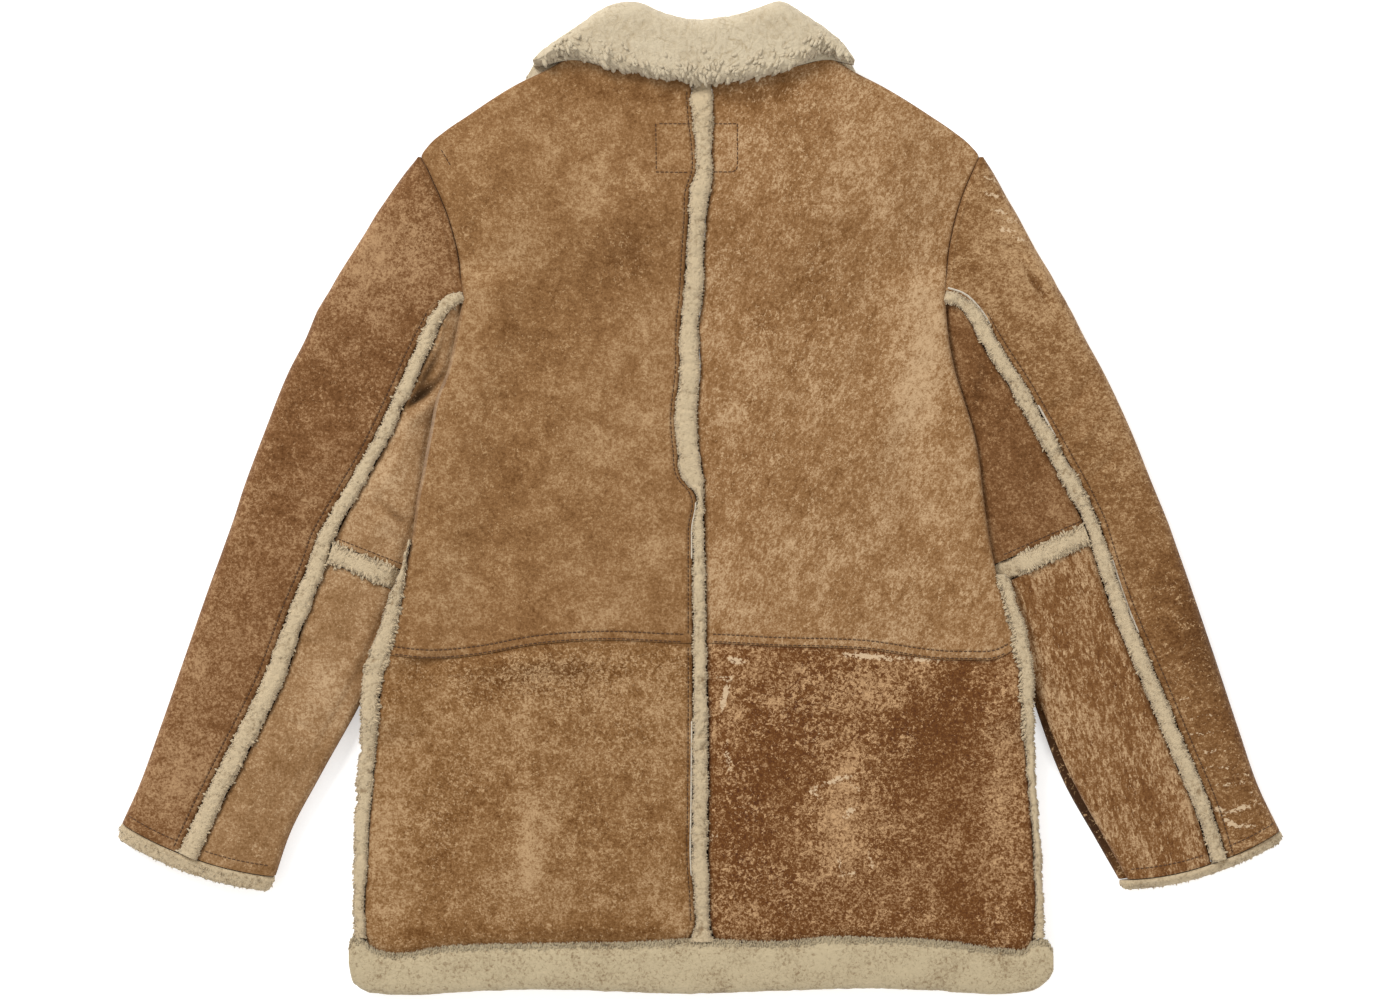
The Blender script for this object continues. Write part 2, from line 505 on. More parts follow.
def back_panel(name, rows, side, bend, drop, seed):
    """Rows run from the side edge to the centre edge. The top is the back's height less what the
    edges roll down, plus the relief; the underside follows the layer below."""
    fine = resample(rows, HIDE_STEP, rows[:, :2])
    y0, x0, edge_drop = (fine[:, k][:, None] for k in range(3))
    inner = (centre_left if side < 0 else centre_right)(centre_y(y0)) + side * SEAM_GAP
    share = across_panel()[None, :]
    x = x0 + share * (inner - x0)
    y = mix(y0, centre_y(y0), share) + bend(x, y0 + 0 * x, share)
    level = back_underside(x, y)
    from_side, from_centre = np.abs(x - x0), np.abs(x - inner)
    edges = roll(from_side, 7, 0.65 * edge_drop) + roll(from_centre, 6, 1.8)
    calm = smooth(0, 14, from_side) * smooth(0, 10, from_centre)
    cross = np.minimum(np.abs(y - waist_seam(x)), 60) * np.ones_like(x)
    cross = np.minimum(cross, np.abs(y - hem_seam(x)))
    high = level + HIDE_AND_FLEECE - edges - drop(y0 + 0 * x)
    high = high + relief(x, y, seed) * calm * smooth(0, 7, cross)
    floor = np.where(y < SHOULDER_TIP_Y - 10, level, mix(FRONT_WALL + 0.5, level - 3, smooth(350, 364, y)))
    low = mix(floor, level, smooth(4, 9, from_side))
    low = low + 3.4 * (1 - smooth(10, 26, from_side)) * smooth(-215, -182, y) * (1 - smooth(160, 190, y))
    top, under = np.stack([x, y, high], axis=-1), np.stack([x, y, low], axis=-1)
    hidden = hidden_columns()
    rings = np.concatenate([top, under[:, hidden[::-1]]], axis=1)
    rim = np.stack([from_side, from_centre, cross], axis=-1)
    rim = np.concatenate([rim, rim[:, hidden[::-1]]], axis=1)
    return hide_piece(name, rings, rim, hidden)


def front_panel(name, rows, side):
    """A flat panel on the surface, pressed round at its side edge."""
    fine = resample(rows, 10.0, rows[:, :2])
    y0, x0, x1 = (fine[:, k][:, None] for k in range(3))
    share = across_panel()[None, hidden_columns()]
    x = mix(x0, x1, share)
    y = y0 + (hem_seam(x) - HEM_Y + SEAM_GAP / 2) * (1 - smooth(HEM_Y, HEM_Y + 3, y0))
    high = FRONT_WALL - roll(np.abs(x - x0), 8, 4) - 0.4 + 0.3 * lumps(np.stack([x, y, 0 * x], axis=-1), 40, 3)
    top, under = np.stack([x, y, high], axis=-1), np.stack([x, y, 0 * x], axis=-1)
    rings = np.concatenate([top, under[:, ::-1]], axis=1)
    rim = np.stack([np.abs(x - x0), np.abs(x - x1), 60 + 0 * x], axis=-1)
    return hide_piece(name, rings, np.concatenate([rim, rim[:, ::-1]], axis=1), "zip")


def soft_spots(rows, points):
    """Sum of soft oval spots: x, y, heading, length, width, amount."""
    return ridges(rows, points[..., 0], points[..., 1])


def hide_piece(name, rings, rim, cap):
    """A closed hide piece with, at its points, how far its edges are, how light it is and how many
    pale flecks it has."""
    flip = inside_out(rings)
    faces = ring_faces(rings.shape[0], rings.shape[1], cap, flip)
    node = name.removeprefix("hide_")
    extras = {
        "rim": rim.reshape(-1, 3),
        "shade": 1.35 * soft_spots(SHADES.get(node, NO_SPOTS), rings).ravel(),
        "flecks": soft_spots(FLECKS.get(node, NO_SPOTS), rings).ravel(),
        "marks": soft_spots(MARKS.get(node, NO_SPOTS), rings).ravel(),
        "raw": np.clip(soft_spots(RAW_EDGES.get(node, NO_SPOTS), rings), 0, 1).ravel(),
    }
    return make(name, rings.reshape(-1, 3), faces, extras)


# Sleeves

class Arm:
    """A sleeve's rows: widths on both sides of its seam, and a way to place a point on a row. A
    distance runs outward from the seam, and the bow moves a row's middle towards the hand."""

    def __init__(self, rows, nearer=0.0):
        self.rows = rows
        nearer = nearer * smooth(ELBOW_ROW, ELBOW_ROW + 2, np.arange(len(rows)))
        self.outer, self.seam = rows[:, 0:2], rows[:, 2:4]
        self.under = rows[:, 6:8]
        self.inner = rows[:, 4:6] + nearer[:, None] * (self.under - rows[:, 4:6])
        self.half, self.top, self.bow = (rows[:, k] for k in (8, 9, 11))
        self.margin = np.where(rows[:, 10] < 15, rows[:, 10] + 3.4, rows[:, 10])
        self.outward = unit(self.outer - self.seam)
        self.inward = unit(self.under - self.seam)
        chord = unit(self.outer - self.under)
        turn = np.where(chord[:, :1] < 0, -1.0, 1.0)
        self.hand = np.stack([chord[:, 1], -chord[:, 0]], axis=-1) * turn
        self.out = np.linalg.norm(self.outer - self.seam, axis=1)
        self.under_width = np.linalg.norm(self.under - self.seam, axis=1)
        self.inner_width = np.linalg.norm(self.inner - self.seam, axis=1)

    def place(self, distance, height, along=0.0, rows=slice(None)):
        """Points at distance[row, k] from the seam and at height[row, k]."""
        pick = lambda values: values[rows][:, None]
        ways = np.where(distance[..., None] > 0, pick(self.outward), pick(self.inward))
        share = (distance + pick(self.under_width)) / (pick(self.out) + pick(self.under_width))
        bow = pick(self.bow) * np.maximum(0, 1 - (2 * share - 1) ** 2) + along
        flat = pick(self.seam) + ways * np.abs(distance)[..., None] + pick(self.hand) * bow[..., None]
        return np.concatenate([flat, (height + 0 * distance)[..., None]], axis=-1)


def stretch(controls, counts):
    """Points along a line of controls[row, k, 2], with so many steps in each of its parts."""
    parts = []
    for k, count in enumerate(counts):
        t = np.linspace(0, 1, count, endpoint=False)[None, :, None]
        parts.append(mix(controls[:, k, None], controls[:, k + 1, None], t))
    parts.append(controls[:, -1, None])
    return np.concatenate(parts, axis=1)


def column(*values):
    """Pairs of distance and height for every row of a sleeve."""
    shape = np.broadcast(*values).shape
    return np.stack([np.broadcast_to(v, shape) for v in values], axis=-1)


def outer_outline(arm):
    """The upper layer from the seam to the fold, half a circle round it, and back underneath."""
    start = arm.half + SEAM_GAP
    end = np.where(arm.under_width > 0.5, -arm.under_width, SEAM_GAP)
    span = arm.out - start
    fold = np.minimum(arm.top / 2, 0.45 * span)
    wall = np.minimum(SLEEVE_FOLD_WALL, 0.5 * span)
    foot = np.minimum(2, 0.15 * (arm.out - end))
    d = np.linspace(0, 1, 44)[None, :] ** 1.25
    s = start[:, None] + d * (span - fold)[:, None]
    lip = np.minimum(6, 0.24 * span)[:, None]
    crown = np.minimum(1.5, 0.05 * span)[:, None] * np.sin(np.pi * np.clip(d, 0, 1)) ** 0.8
    upper = column(s, arm.top[:, None] - roll(s - start[:, None], lip, 1.6) + crown)
    angle = np.linspace(0, np.pi, 15)[None, 1:]
    half = arm.top[:, None] / 2
    turn = column((arm.out - fold)[:, None] + fold[:, None] * np.sin(angle), half * (1 + np.cos(angle)))
    middle = mix(end, arm.out - fold, 0.5)
    under = [column(middle, 0.0), column(end + foot, 0.0), column(end, 3.0), column(end, SLEEVE_UNDER_WALL - 2.0),
             column(end + foot, SLEEVE_UNDER_WALL), column(middle, SLEEVE_UNDER_WALL),
             column(arm.out - wall, SLEEVE_UNDER_WALL), column(arm.out - wall, SLOT_TOP), column(start, SLOT_TOP)]
    return np.concatenate([upper, turn, np.stack(under, axis=1)], axis=1)


def under_outline(arm):
    """The upper layer from the seam to the inner edge, pressed thin where the body covers it."""
    start, end = -arm.half - SEAM_GAP, -arm.inner_width
    width = start - end
    edge = end[:, None] + np.stack([np.minimum(a, b * width) for a, b in (
        (23, 0.85), (18, 0.72), (13.5, 0.56), (3, 0.1), (0, 0))], axis=1)
    lip = start - np.minimum(4, 0.05 * width)
    level = lambda share: mix(SLOT_TOP, arm.margin, share)
    controls = np.stack([
        column(start, arm.top - 2), column(lip, arm.top), column(mix(lip, edge[:, 0], 0.5), arm.top + 1),
        column(edge[:, 0], arm.top - 0.5), column(edge[:, 1], mix(arm.margin, arm.top, 0.6)),
        column(edge[:, 2], arm.margin), column(edge[:, 3], level(0.85)), column(edge[:, 4], level(0.45)),
        column(edge[:, 4] + 0.8, SLOT_TOP),
    ], axis=1)
    fine = stretch(controls, [3, 12, 12, 4, 4, 4, 2, 1])
    smoothed = fine.copy()
    smoothed[:, 2:-3] = (fine[:, 1:-4] + fine[:, 2:-3] * 2 + fine[:, 3:-2]) / 4
    back = column(start, SLOT_TOP)[:, None]
    return np.concatenate([smoothed, back], axis=1)


def sleeve_piece(name, arm, outline, first, last, seed):
    """The outline at each row, carried along the arm on smooth curves."""
    section = outline(arm)
    placed = arm.place(section[..., 0], section[..., 1])[first:last + 1]
    seam = np.concatenate([arm.seam, 0 * arm.seam[:, :1]], axis=1)[first:last + 1]
    start = arm.half[first:last + 1, None]
    from_seam = np.abs(np.abs(section[first:last + 1, :, 0]) - start)
    packed = np.concatenate([placed, from_seam[..., None], 0 * placed[..., :2] + 60], axis=-1)
    rings = resample(packed, HIDE_STEP, seam)
    lengths = np.linalg.norm(np.diff(rings[:, 0, :2], axis=0), axis=1)
    walked = np.concatenate([[0], np.cumsum(lengths)])[:, None]
    rings[..., 5] = np.minimum(walked[-1] - walked, 60) * np.ones_like(rings[..., 0])
    rings[..., 4] = np.minimum(walked, 60) * np.ones_like(rings[..., 0])
    points = rings[..., :3]
    upper = smooth(SLEEVE_UNDER_WALL + 3, SLEEVE_UNDER_WALL + 8, points[..., 2])
    calm = smooth(0, 8, rings[..., 3]) * upper
    lift = ridges(FOLDS, points[..., 0], points[..., 1]) * 0.6 * upper
    points[..., 2] += lift + relief(points[..., 0], points[..., 1], seed) * calm
    return hide_piece(name, points, rings[..., 3:6], "face")

# Fleece

PILE_STEP = 1.15  # between the points of a fleece piece


def strip(a, b, bottom, top, shoulder, foot, steps=24, bulge=0.1):
    """Rings of a strip between the edges a[v, 2] and b[v, 2]: straight sides up to the shoulder, then
    half a round that bulges past both edges. Returns the rings and how exposed each point is."""
    angle = np.linspace(0, np.pi, steps)
    arch = 0.5 + 0.5 * np.sign(np.cos(angle)) * np.abs(np.cos(angle)) ** 0.7
    across = np.concatenate([[foot, 1 - foot], arch])
    high = np.concatenate([[0, 0], shoulder + (1 - shoulder) * np.sin(angle) ** 0.55])
    across = 0.5 + (across - 0.5) * (1 + bulge * smooth(shoulder, shoulder + 0.3, high))
    flat = mix(a[:, None], b[:, None], across[None, :, None])
    height = mix(bottom[:, None], top[:, None], high[None])
    shown = smooth(shoulder - 0.1, shoulder + 0.25, high)[None] * np.ones_like(height)
    return np.concatenate([flat, height[..., None]], axis=-1), shown


def clumps(spots, size, seed):
    """Height of curly fleece from 0 to 1: round curls of two sizes, parted by thin valleys, on a grid
    bent by noise, with smoother and curlier patches."""
    bend = np.stack([lumps(spots, size * 1.1, seed + k) for k in range(3)], axis=-1)
    bent = spots + bend * size * 0.42
    big = domes(bent, size, seed + 11)
    small = domes(bent + 0.3 * bend * size, size * 0.5, seed + 23)
    fine = lumps(bent, size * 0.24, seed + 31)
    calm = 0.55 + 0.45 * smooth(-0.35, 0.35, lumps(spots, size * 4, seed + 41))
    return np.clip(1 - calm * (1 - (0.52 * big + 0.42 * small + 0.06 + 0.08 * fine)), 0, 1)


def locks(rings, out, where, height, flow, count, length, radius, rows):
    """Curved locks of pile on the exposed side. Each is a tube of a few sides, with a girth at every
    share of its length and a pointed tip, that leans with the flow and curls to one side."""
    sides = 3 if len(rows) < 3 else 6
    step_v = np.roll(rings, -1, axis=0) - rings
    step_u = np.roll(rings, -1, axis=1) - rings
    area = np.linalg.norm(np.cross(step_v, step_u), axis=-1) * where
    area[-1] = 0
    chosen = np.searchsorted(np.cumsum(area.ravel()), rng.random(count) * area.sum())
    v, u = np.unravel_index(np.clip(chosen, 0, area.size - 1), area.shape)
    share = rng.random((count, 2, 1))
    root = rings[v, u] + step_v[v, u] * share[:, 0] + step_u[v, u] * share[:, 1]
    up, lie = out[v, u], flow[v, u]
    scatter = rng.normal(size=(count, 3)) * 0.25
    start = unit(up * 0.35 + lie + scatter)
    side = unit(np.cross(start, up + 0.01))
    other = np.cross(start, side)
    curl = rng.normal(size=(count, 1)) * 0.5
    finish = unit(start + side * curl + lie * 0.2 - up * 0.45)
    long = length * rng.uniform(0.55, 1.25, (count, 1))
    thick = radius * rng.uniform(0.7, 1.25, (count, 1))
    base = root - up * thick * 0.8
    angles = 2 * np.pi * (np.arange(sides) + 0.5) / sides
    around = side[:, None] * np.cos(angles)[None, :, None] + 0.8 * other[:, None] * np.sin(angles)[None, :, None]
    rounds = []
    for along, girth in (*rows, (1, 0)):
        centre = base + long * (start * along + (finish - start) * along ** 2 / 2)
        rounds.append(centre[:, None] + around[:, :sides if girth else 1] * (thick * girth)[:, None])
    points = np.concatenate(rounds, axis=1)
    one = [[0, k + 1, k] for k in range(1, sides - 1)]
    top = sides * len(rows)
    for k in range(sides):
        after = (k + 1) % sides
        for low in range(0, top - sides, sides):
            one += [[low + k, low + after, low + sides + after], [low + k, low + sides + after, low + sides + k]]
        one.append([top - sides + k, top - sides + after, top])
    faces = (np.array(one)[None] + (top + 1) * np.arange(count)[:, None, None]).reshape(-1, 3)
    rise = np.concatenate([np.repeat([mix(-0.1, 0.15, along) for along, _ in rows], sides), [0.2]])
    pile = np.clip(height[v, u][:, None] + rise, 0, 1)
    return points.reshape(-1, 3), faces, pile.ravel()


FUZZ = ((0, 0.8), (0.55, 1))  # girth along a small lock
TEETH = ((0, 0.7), (0.35, 1), (0.72, 0.8))  # and along a big one


def fleece(name, rings, shown, flow, size, rise, seed, sets, cap="zip", endless=False, spots=None):
    """A closed form whose exposed side is raised in clumps along its normals and set with locks.
    The spots give where each point is in the clumps' own pattern; each set of locks says how thickly
    they grow where, their number, length, radius and girths."""
    out = normals_of(rings)
    height = clumps(rings if spots is None else spots, size, seed)
    raised = rings + out * ((height - 0.55) * rise * shown)[..., None]
    faces = ring_faces(rings.shape[0], rings.shape[1], cap, inside_out(rings), endless)
    points, piles = [raised.reshape(-1, 3)], [(height * mix(0.8, 1, shown)).ravel()]
    start = points[0].shape[0]
    for where, count, length, radius, rows in sets:
        places, more, pile = locks(raised, out, where, height, flow, count, length, radius, rows)
        facing = np.cross(places[more[:, 1]] - places[more[:, 0]], places[more[:, 2]] - places[more[:, 0]])
        if (facing * (places[more[:, 0]] - places.mean(axis=0))).sum() < 0:
            more = more[:, ::-1]
        faces += (more + start).tolist()
        points.append(places)
        piles.append(pile)
        start += len(places)
    everything = np.concatenate(points)
    everything[:, 2] = np.maximum(everything[:, 2], 0.05)
    piece = make(name, everything, faces, {"pile": np.concatenate(piles)}, crease=120)
    return piece


def outward_flow(rings, shown, down=(0, 0, 0)):
    """The lie of the pile: away from a strip's middle on both sides, with an even drift."""
    middle = rings.mean(axis=1, keepdims=True)
    away = rings - middle
    away[..., 2] = 0
    return unit(away + np.array(down, float) * np.abs(away).max())


def fringed(rings, shown):
    """Locks grow thickest at both sides of a strip, and in bunches."""
    share = np.linspace(0, 1, rings.shape[1])[None]
    bunches = 0.5 + 0.5 * np.clip(1.5 * lumps(rings, 8, 61), -1, 1)
    return shown * (0.3 + np.abs(2 * share - 1) ** 2 * bunches)


def outer_side(rings, shown, low, high):
    """Locks grow on the outer side of a strip, between two heights on the coat."""
    share = np.linspace(0, 1, rings.shape[1])[None]
    y = rings[..., 1]
    return shown * smooth(0.55, 0.9, share) * smooth(low, low + 25, y) * (1 - smooth(high - 25, high, y))


def upper_lip(rings, shown):
    """Locks grow where the band overlaps the hide's lower edge."""
    top, low = rings[..., 1].max(axis=1, keepdims=True), rings[..., 1].min(axis=1, keepdims=True)
    return shown * smooth(0.84, 0.97, (rings[..., 1] - low) / (top - low))


def wandering(a, b, top, amount, seed, dents=1.6, inset=1.1):
    """Edges of a strip, drawn in, that wander in and out, and pinched dents across its top."""
    middle = np.concatenate([(a + b) / 2, top[:, None] * 0], axis=1)
    way = unit(b - a)
    left = a + way * (inset + amount * (lumps(middle, 9, seed) + 0.6 * lumps(middle, 4.5, seed + 1)))[:, None]
    right = b + way * (amount * (lumps(middle, 9, seed + 2) + 0.6 * lumps(middle, 4.5, seed + 3)) - inset)[:, None]
    return left, right, top - dents * np.clip(lumps(middle, 6.5, seed + 4) - 0.25, 0, 1)


def centre_welt():
    y = np.arange(359.5, HEM_CENTRE_Y, -PILE_STEP)
    left, right = centre_left(y), centre_right(y)
    fade = smooth(340, 356, y)
    middle = (left + right) / 2
    top = back_top(middle, y) + WELT_RISE * (1 - fade) - 0.6 * fade
    a, b = np.stack([left, y], axis=-1), np.stack([right, y], axis=-1)
    a, b, top = wandering(a, b, top, 0.8, 41, inset=1.1 - 0.9 * smooth(250, 290, y))
    rings, shown = strip(a, b, back_underside(middle, y), top, 0.5, 0, bulge=0.02)
    sets = [(fringed(rings, shown), 4600, 2.5, 0.85, FUZZ)]
    return fleece("pile_centre_back_welt", rings, shown, outward_flow(rings, shown), 4.8, 2.6, 5, sets)


def side_welt(name, upper, lower, outline, side, seed):
    outer = curve(outline, 0, 1)
    parts = []
    for rows, bend in ((upper, upper_bend), (lower[1:], lower_bend)):
        bent = rows[:, 1::-1].copy()
        bent[:, 1] += bend(rows[:, 1], rows[:, 0], 0 * rows[:, 0])
        parts.append(bent)
    rows = np.vstack(parts)
    rows = rows[(rows[:, 1] <= outline[0, 0] + 5) & (rows[:, 1] > outline[-1, 0])]
    fine = resample(rows, PILE_STEP)
    start = fine[:, 0] + side * SEAM_GAP
    a = np.stack([start, fine[:, 1]], axis=-1)
    b = np.stack([outer(fine[:, 1]), fine[:, 1]], axis=-1)
    bottom = back_underside(start, fine[:, 1])
    top = bottom + HIDE_AND_FLEECE + WELT_RISE - 2
    a, b, top = wandering(a, b, top, 0.9, seed, dents=0.8, inset=0.8)
    rings, shown = strip(a, b, bottom, top, 0.42, 0, bulge=0.0)
    sets = [(fringed(rings, shown), 2600, 2.7, 0.85, FUZZ),
            (outer_side(rings, shown, -215, -20), 300, 5.2, 1.15, TEETH)]
    return fleece(name, rings, shown, outward_flow(rings, shown, (0, -0.3, 0)), 4.4, 1.9, seed, sets)


def hem_band(name, from_x, to_x, bottom, top, count, seed):
    lower = curve(HEM_BAND, 0, 2)
    tops = np.where(np.isnan(HEM_BAND[:, 1]), hem_seam(HEM_BAND[:, 0]), HEM_BAND[:, 1])
    known = [[x, edge] for x, edge in zip(HEM_BAND[:, 0], tops) if abs(x) > 287.5]
    known += [[x, y] for x, y in HEM_SEAM if abs(x) <= 286.5]
    upper = curve(np.array(known), 0, 1)
    on_top = top > 15
    x = np.arange(from_x, to_x, PILE_STEP if on_top else 1.8 * PILE_STEP)
    a = np.stack([x, upper(x) - SEAM_GAP / 2 + (1.6 if on_top else 0)], axis=-1)
    b = np.stack([x, lower(x)], axis=-1)
    a, b, level = wandering(a, b, top + 0 * x, 0.35, seed, dents=0, inset=0.3)
    rings, shown = strip(a, b, bottom + 0 * x, level, 0.4, 0.05, steps=44 if on_top else 26, bulge=0.0)
    sets = [(upper_lip(rings, shown), count, 4.0, 0.8, FUZZ)]
    return fleece(name, rings, shown, outward_flow(rings, shown), 3.0, 0.9, seed, sets)


def collar_back():
    """The stand rises from the neck seam, turns at the fold line and falls over the back."""
    fall_points = 16
    sections = []
    for x, fold, measured in COLLAR:
        edge = measured + min(3.5, 0.15 * (fold - measured))
        stand_bottom = FRONT_WALL + NECK_RISE + 1 - 6 * float(smooth(126, 146, abs(x)))
        stand_top = stand_bottom + STAND_WALL
        fall_bottom = stand_top + 1.2
        fall_top = fall_bottom + FALL_WALL
        middle = (stand_bottom + fall_top) / 2
        seam = NECK_SEAM_Y + SEAM_GAP - NECK_DIP * (1 - min(1, abs(x) / 118)) + neck_lift(x)
        reach = fold - max(edge, seam)
        turn, wall = min(13, 0.6 * reach), min(STAND_WALL, 0.55 * reach)
        lip = min(7, 0.4 * (fold - edge))
        line = [(edge + lip * 0.25, fall_bottom), (edge, fall_bottom + 5), (edge + lip * 0.4, fall_top - 2.5),
                (edge + lip, fall_top - 0.6)]
        line += [(mix(edge + lip, fold - turn, k / fall_points), fall_top - 0.6 + 0.6 * k / fall_points)
                 for k in range(1, fall_points)]
        line += [(fold - turn + turn * np.sin(t), middle + (fall_top - middle) * np.cos(t))
                 for t in np.linspace(0, np.pi, 13)]
        line += [(seam, stand_bottom), (seam, stand_top), (fold - wall, stand_top), (fold - wall, fall_bottom)]
        sections.append([(x, y, z) for y, z in line])
    sections = np.array(sections)
    along = resample(sections, PILE_STEP, COLLAR[:, :1])
    counts = [3, 4, 4] + [2] * fall_points + [3] * 12 + [6, 2, 3, 2]
    parts = []
    for k, count in enumerate(counts):
        t = np.linspace(0, 1, count, endpoint=False)[None, :, None]
        parts.append(mix(along[:, k, None], along[:, k + 1, None], t))
    parts.append(along[:, -1, None])
    rings = np.concatenate(parts, axis=1)
    for _ in range(3):
        seen = slice(1, 60)
        rings[:, seen] = (np.roll(rings, 1, axis=1) + 2 * rings + np.roll(rings, -1, axis=1))[:, seen] / 4
    index = np.arange(rings.shape[1])
    row = np.arange(rings.shape[0])[:, None]
    ends = smooth(0, 9, row) * smooth(0, 9, rings.shape[0] - 1 - row)
    shown = smooth(1, 5, index) * (1 - smooth(66, 76, index)) * mix(0.3, 1, ends)
    steps = np.linalg.norm(rings - np.roll(rings, 1, axis=1), axis=-1)
    steps[:, 0] = 0
    down = np.cumsum(steps, axis=1)
    across = np.abs(rings[..., 0] - 6)
    lean = np.radians(28) * smooth(0, 25, across)
    spots = np.stack([across * np.cos(lean) + down * np.sin(lean), (down * np.cos(lean) - across * np.sin(lean)) / 1.7,
                      0.4 * rings[..., 2]], axis=-1)
    flow = unit(np.roll(rings, 1, axis=1) - rings)
    flow[..., 0] -= np.sign(rings[..., 0] - 6) * 0.6 * smooth(0, 25, across) + 0.25 * lumps(rings, 22, 71)
    lip = np.exp(-((down - 8) / 6) ** 2) * mix(0.5, 1, ends)
    band = np.exp(-((down - 19) / 9) ** 2) * mix(0.4, 1, ends)
    sets = [(shown * band, 520, 7.5, 1.7, TEETH), (shown * lip, 560, 10.5, 2.2, TEETH)]
    return fleece("pile_collar_back", rings, shown, unit(flow), 5.6, 1.9, 7, sets, cap="face", spots=spots)


def collar_front(name, rows, seed):
    fine = resample(rows, PILE_STEP * 1.6, rows[:, :2])
    rings, shown = strip(fine[:, :2], fine[:, 2:4], 0 * fine[:, 4], fine[:, 4], 0.45, 0.04, steps=22, bulge=0)
    sets = [(shown, 700, 5.0, 1.0, FUZZ)]
    return fleece(name, rings, shown, outward_flow(rings, shown), 5.2, 1.8, seed, sets)


def welt_path(arm):
    """Rows a step apart down a sleeve's seam, from the armhole to the cuff: middle, half width and
    top of the fleece edge, and the way across it, square to its path and away from the body."""
    seam = arm.place(0 * arm.half[:, None], 0.0)[:, 0, :2]
    start = seam[ARMHOLE_ROWS] + unit(seam[ARMHOLE_ROWS - 1] - seam[ARMHOLE_ROWS + 1]) * 3
    path = np.vstack([start, seam[ARMHOLE_ROWS:]])
    half = np.maximum(np.concatenate([arm.half[ARMHOLE_ROWS:ARMHOLE_ROWS + 1], arm.half[ARMHOLE_ROWS:]]), 6)
    top = np.concatenate([arm.top[ARMHOLE_ROWS:ARMHOLE_ROWS + 1] - 3, arm.top[ARMHOLE_ROWS:]]) + WELT_RISE
    packed = np.concatenate([path, half[:, None], top[:, None]], axis=1)
    fine = resample(packed, PILE_STEP, packed[:, :2])
    way = unit(np.gradient(fine[:, :2], axis=0))
    across = np.stack([-way[:, 1], way[:, 0]], axis=-1) * np.sign(arm.outward[-1, 0])
    return fine, across


def sleeve_welt(name, arm, seed):
    fine, across = welt_path(arm)
    across = across * fine[:, 2:3]
    a, b, top = wandering(fine[:, :2] + across, fine[:, :2] - across, fine[:, 3], 0.9, seed)
    rings, shown = strip(a, b, SLOT_TOP + 0 * top, top, 0.5, 0, bulge=0.02)
    sets = [(fringed(rings, shown), 3600, 2.3, 0.9, FUZZ), (fringed(rings, shown), 170, 4.2, 1.1, TEETH)]
    return fleece(name, rings, shown, outward_flow(rings, shown), 4.8, 2.5, seed, sets)


def elbow_welt(name, arm, seed):
    share = np.linspace(0, 1, 7)[None]
    lines = []
    for row in (ELBOW_ROW, ELBOW_ROW + 1):
        distance = mix(-arm.half[row] - 2 * SEAM_GAP, -arm.inner_width[row], share)
        lines.append(arm.place(distance, 0.0, rows=slice(row, row + 1))[0, :, :2])
    tucked = smooth(0.62, 0.82, share[0])
    top = mix(arm.top[ELBOW_ROW] + WELT_RISE, arm.margin[ELBOW_ROW], tucked)
    packed = np.concatenate([mix(lines[0], lines[1], 0.03), mix(lines[1], lines[0], 0.03), top[:, None]], axis=1)
    fine = resample(packed, PILE_STEP, packed[:, :2])
    a, b, top = wandering(fine[:, :2], fine[:, 2:4], fine[:, 4], 0.7, seed)
    rings, shown = strip(a, b, SLOT_TOP + 0 * top, top, 0.5, 0)
    shown = shown * (1 - smooth(0.7, 0.9, np.linspace(0, 1, len(shown))))[:, None]
    sets = [(fringed(rings, shown), 700, 2.8, 0.9, FUZZ), (fringed(rings, shown), 170, 5.0, 1.05, TEETH)]
    return fleece(name, rings, shown, outward_flow(rings, shown), 4.4, 2.1, seed, sets)


def cuff_rim(name, arm, seed, fuller):
    """A flattened ring round the opening, from the cuff's edge over the fleece, which may be fuller
    than the solid by so many millimetres, and back inside."""
    last = slice(len(arm.half) - 1, None)
    start, end, half = -arm.under_width[-1], arm.out[-1], arm.top[-1] / 2
    angle = np.linspace(0, 2 * np.pi, 260, endpoint=False)
    c = np.sign(np.cos(angle)) * np.abs(np.cos(angle)) ** 0.55
    s = np.sign(np.sin(angle)) * np.abs(np.sin(angle)) ** 0.8
    lines = []
    length = CUFF_RIM_LENGTH + fuller
    for height, inset, along in ((half, 0, 3 * SEAM_GAP), (half, -0.6, 4), (half * 0.78, 1, length - 1.5),
                                 (half * 0.5, 3, length), (2.6, 6, length - 2), (1, 8, 3 * SEAM_GAP)):
        across = mix(start + inset, end - inset, 0.5 + 0.5 * c)[None]
        lines.append(arm.place(across, half + height * s[None], along, last)[0])
    loop = np.stack(lines + lines[:1], axis=1)
    rings = stretch(loop, [5, 5, 4, 4, 4, 3])[:, :-1]
    index = np.arange(rings.shape[1])
    shown = smooth(0, 3, index) * (1 - smooth(17, 21, index)) * np.ones(rings.shape[:2])
    flow = unit(np.roll(rings, -1, axis=1) - rings)
    return fleece(name, rings, shown, flow, 3.4, 1.3, seed, [(shown, 1300, 3.6, 0.75, FUZZ)], endless=True)


# Stitches

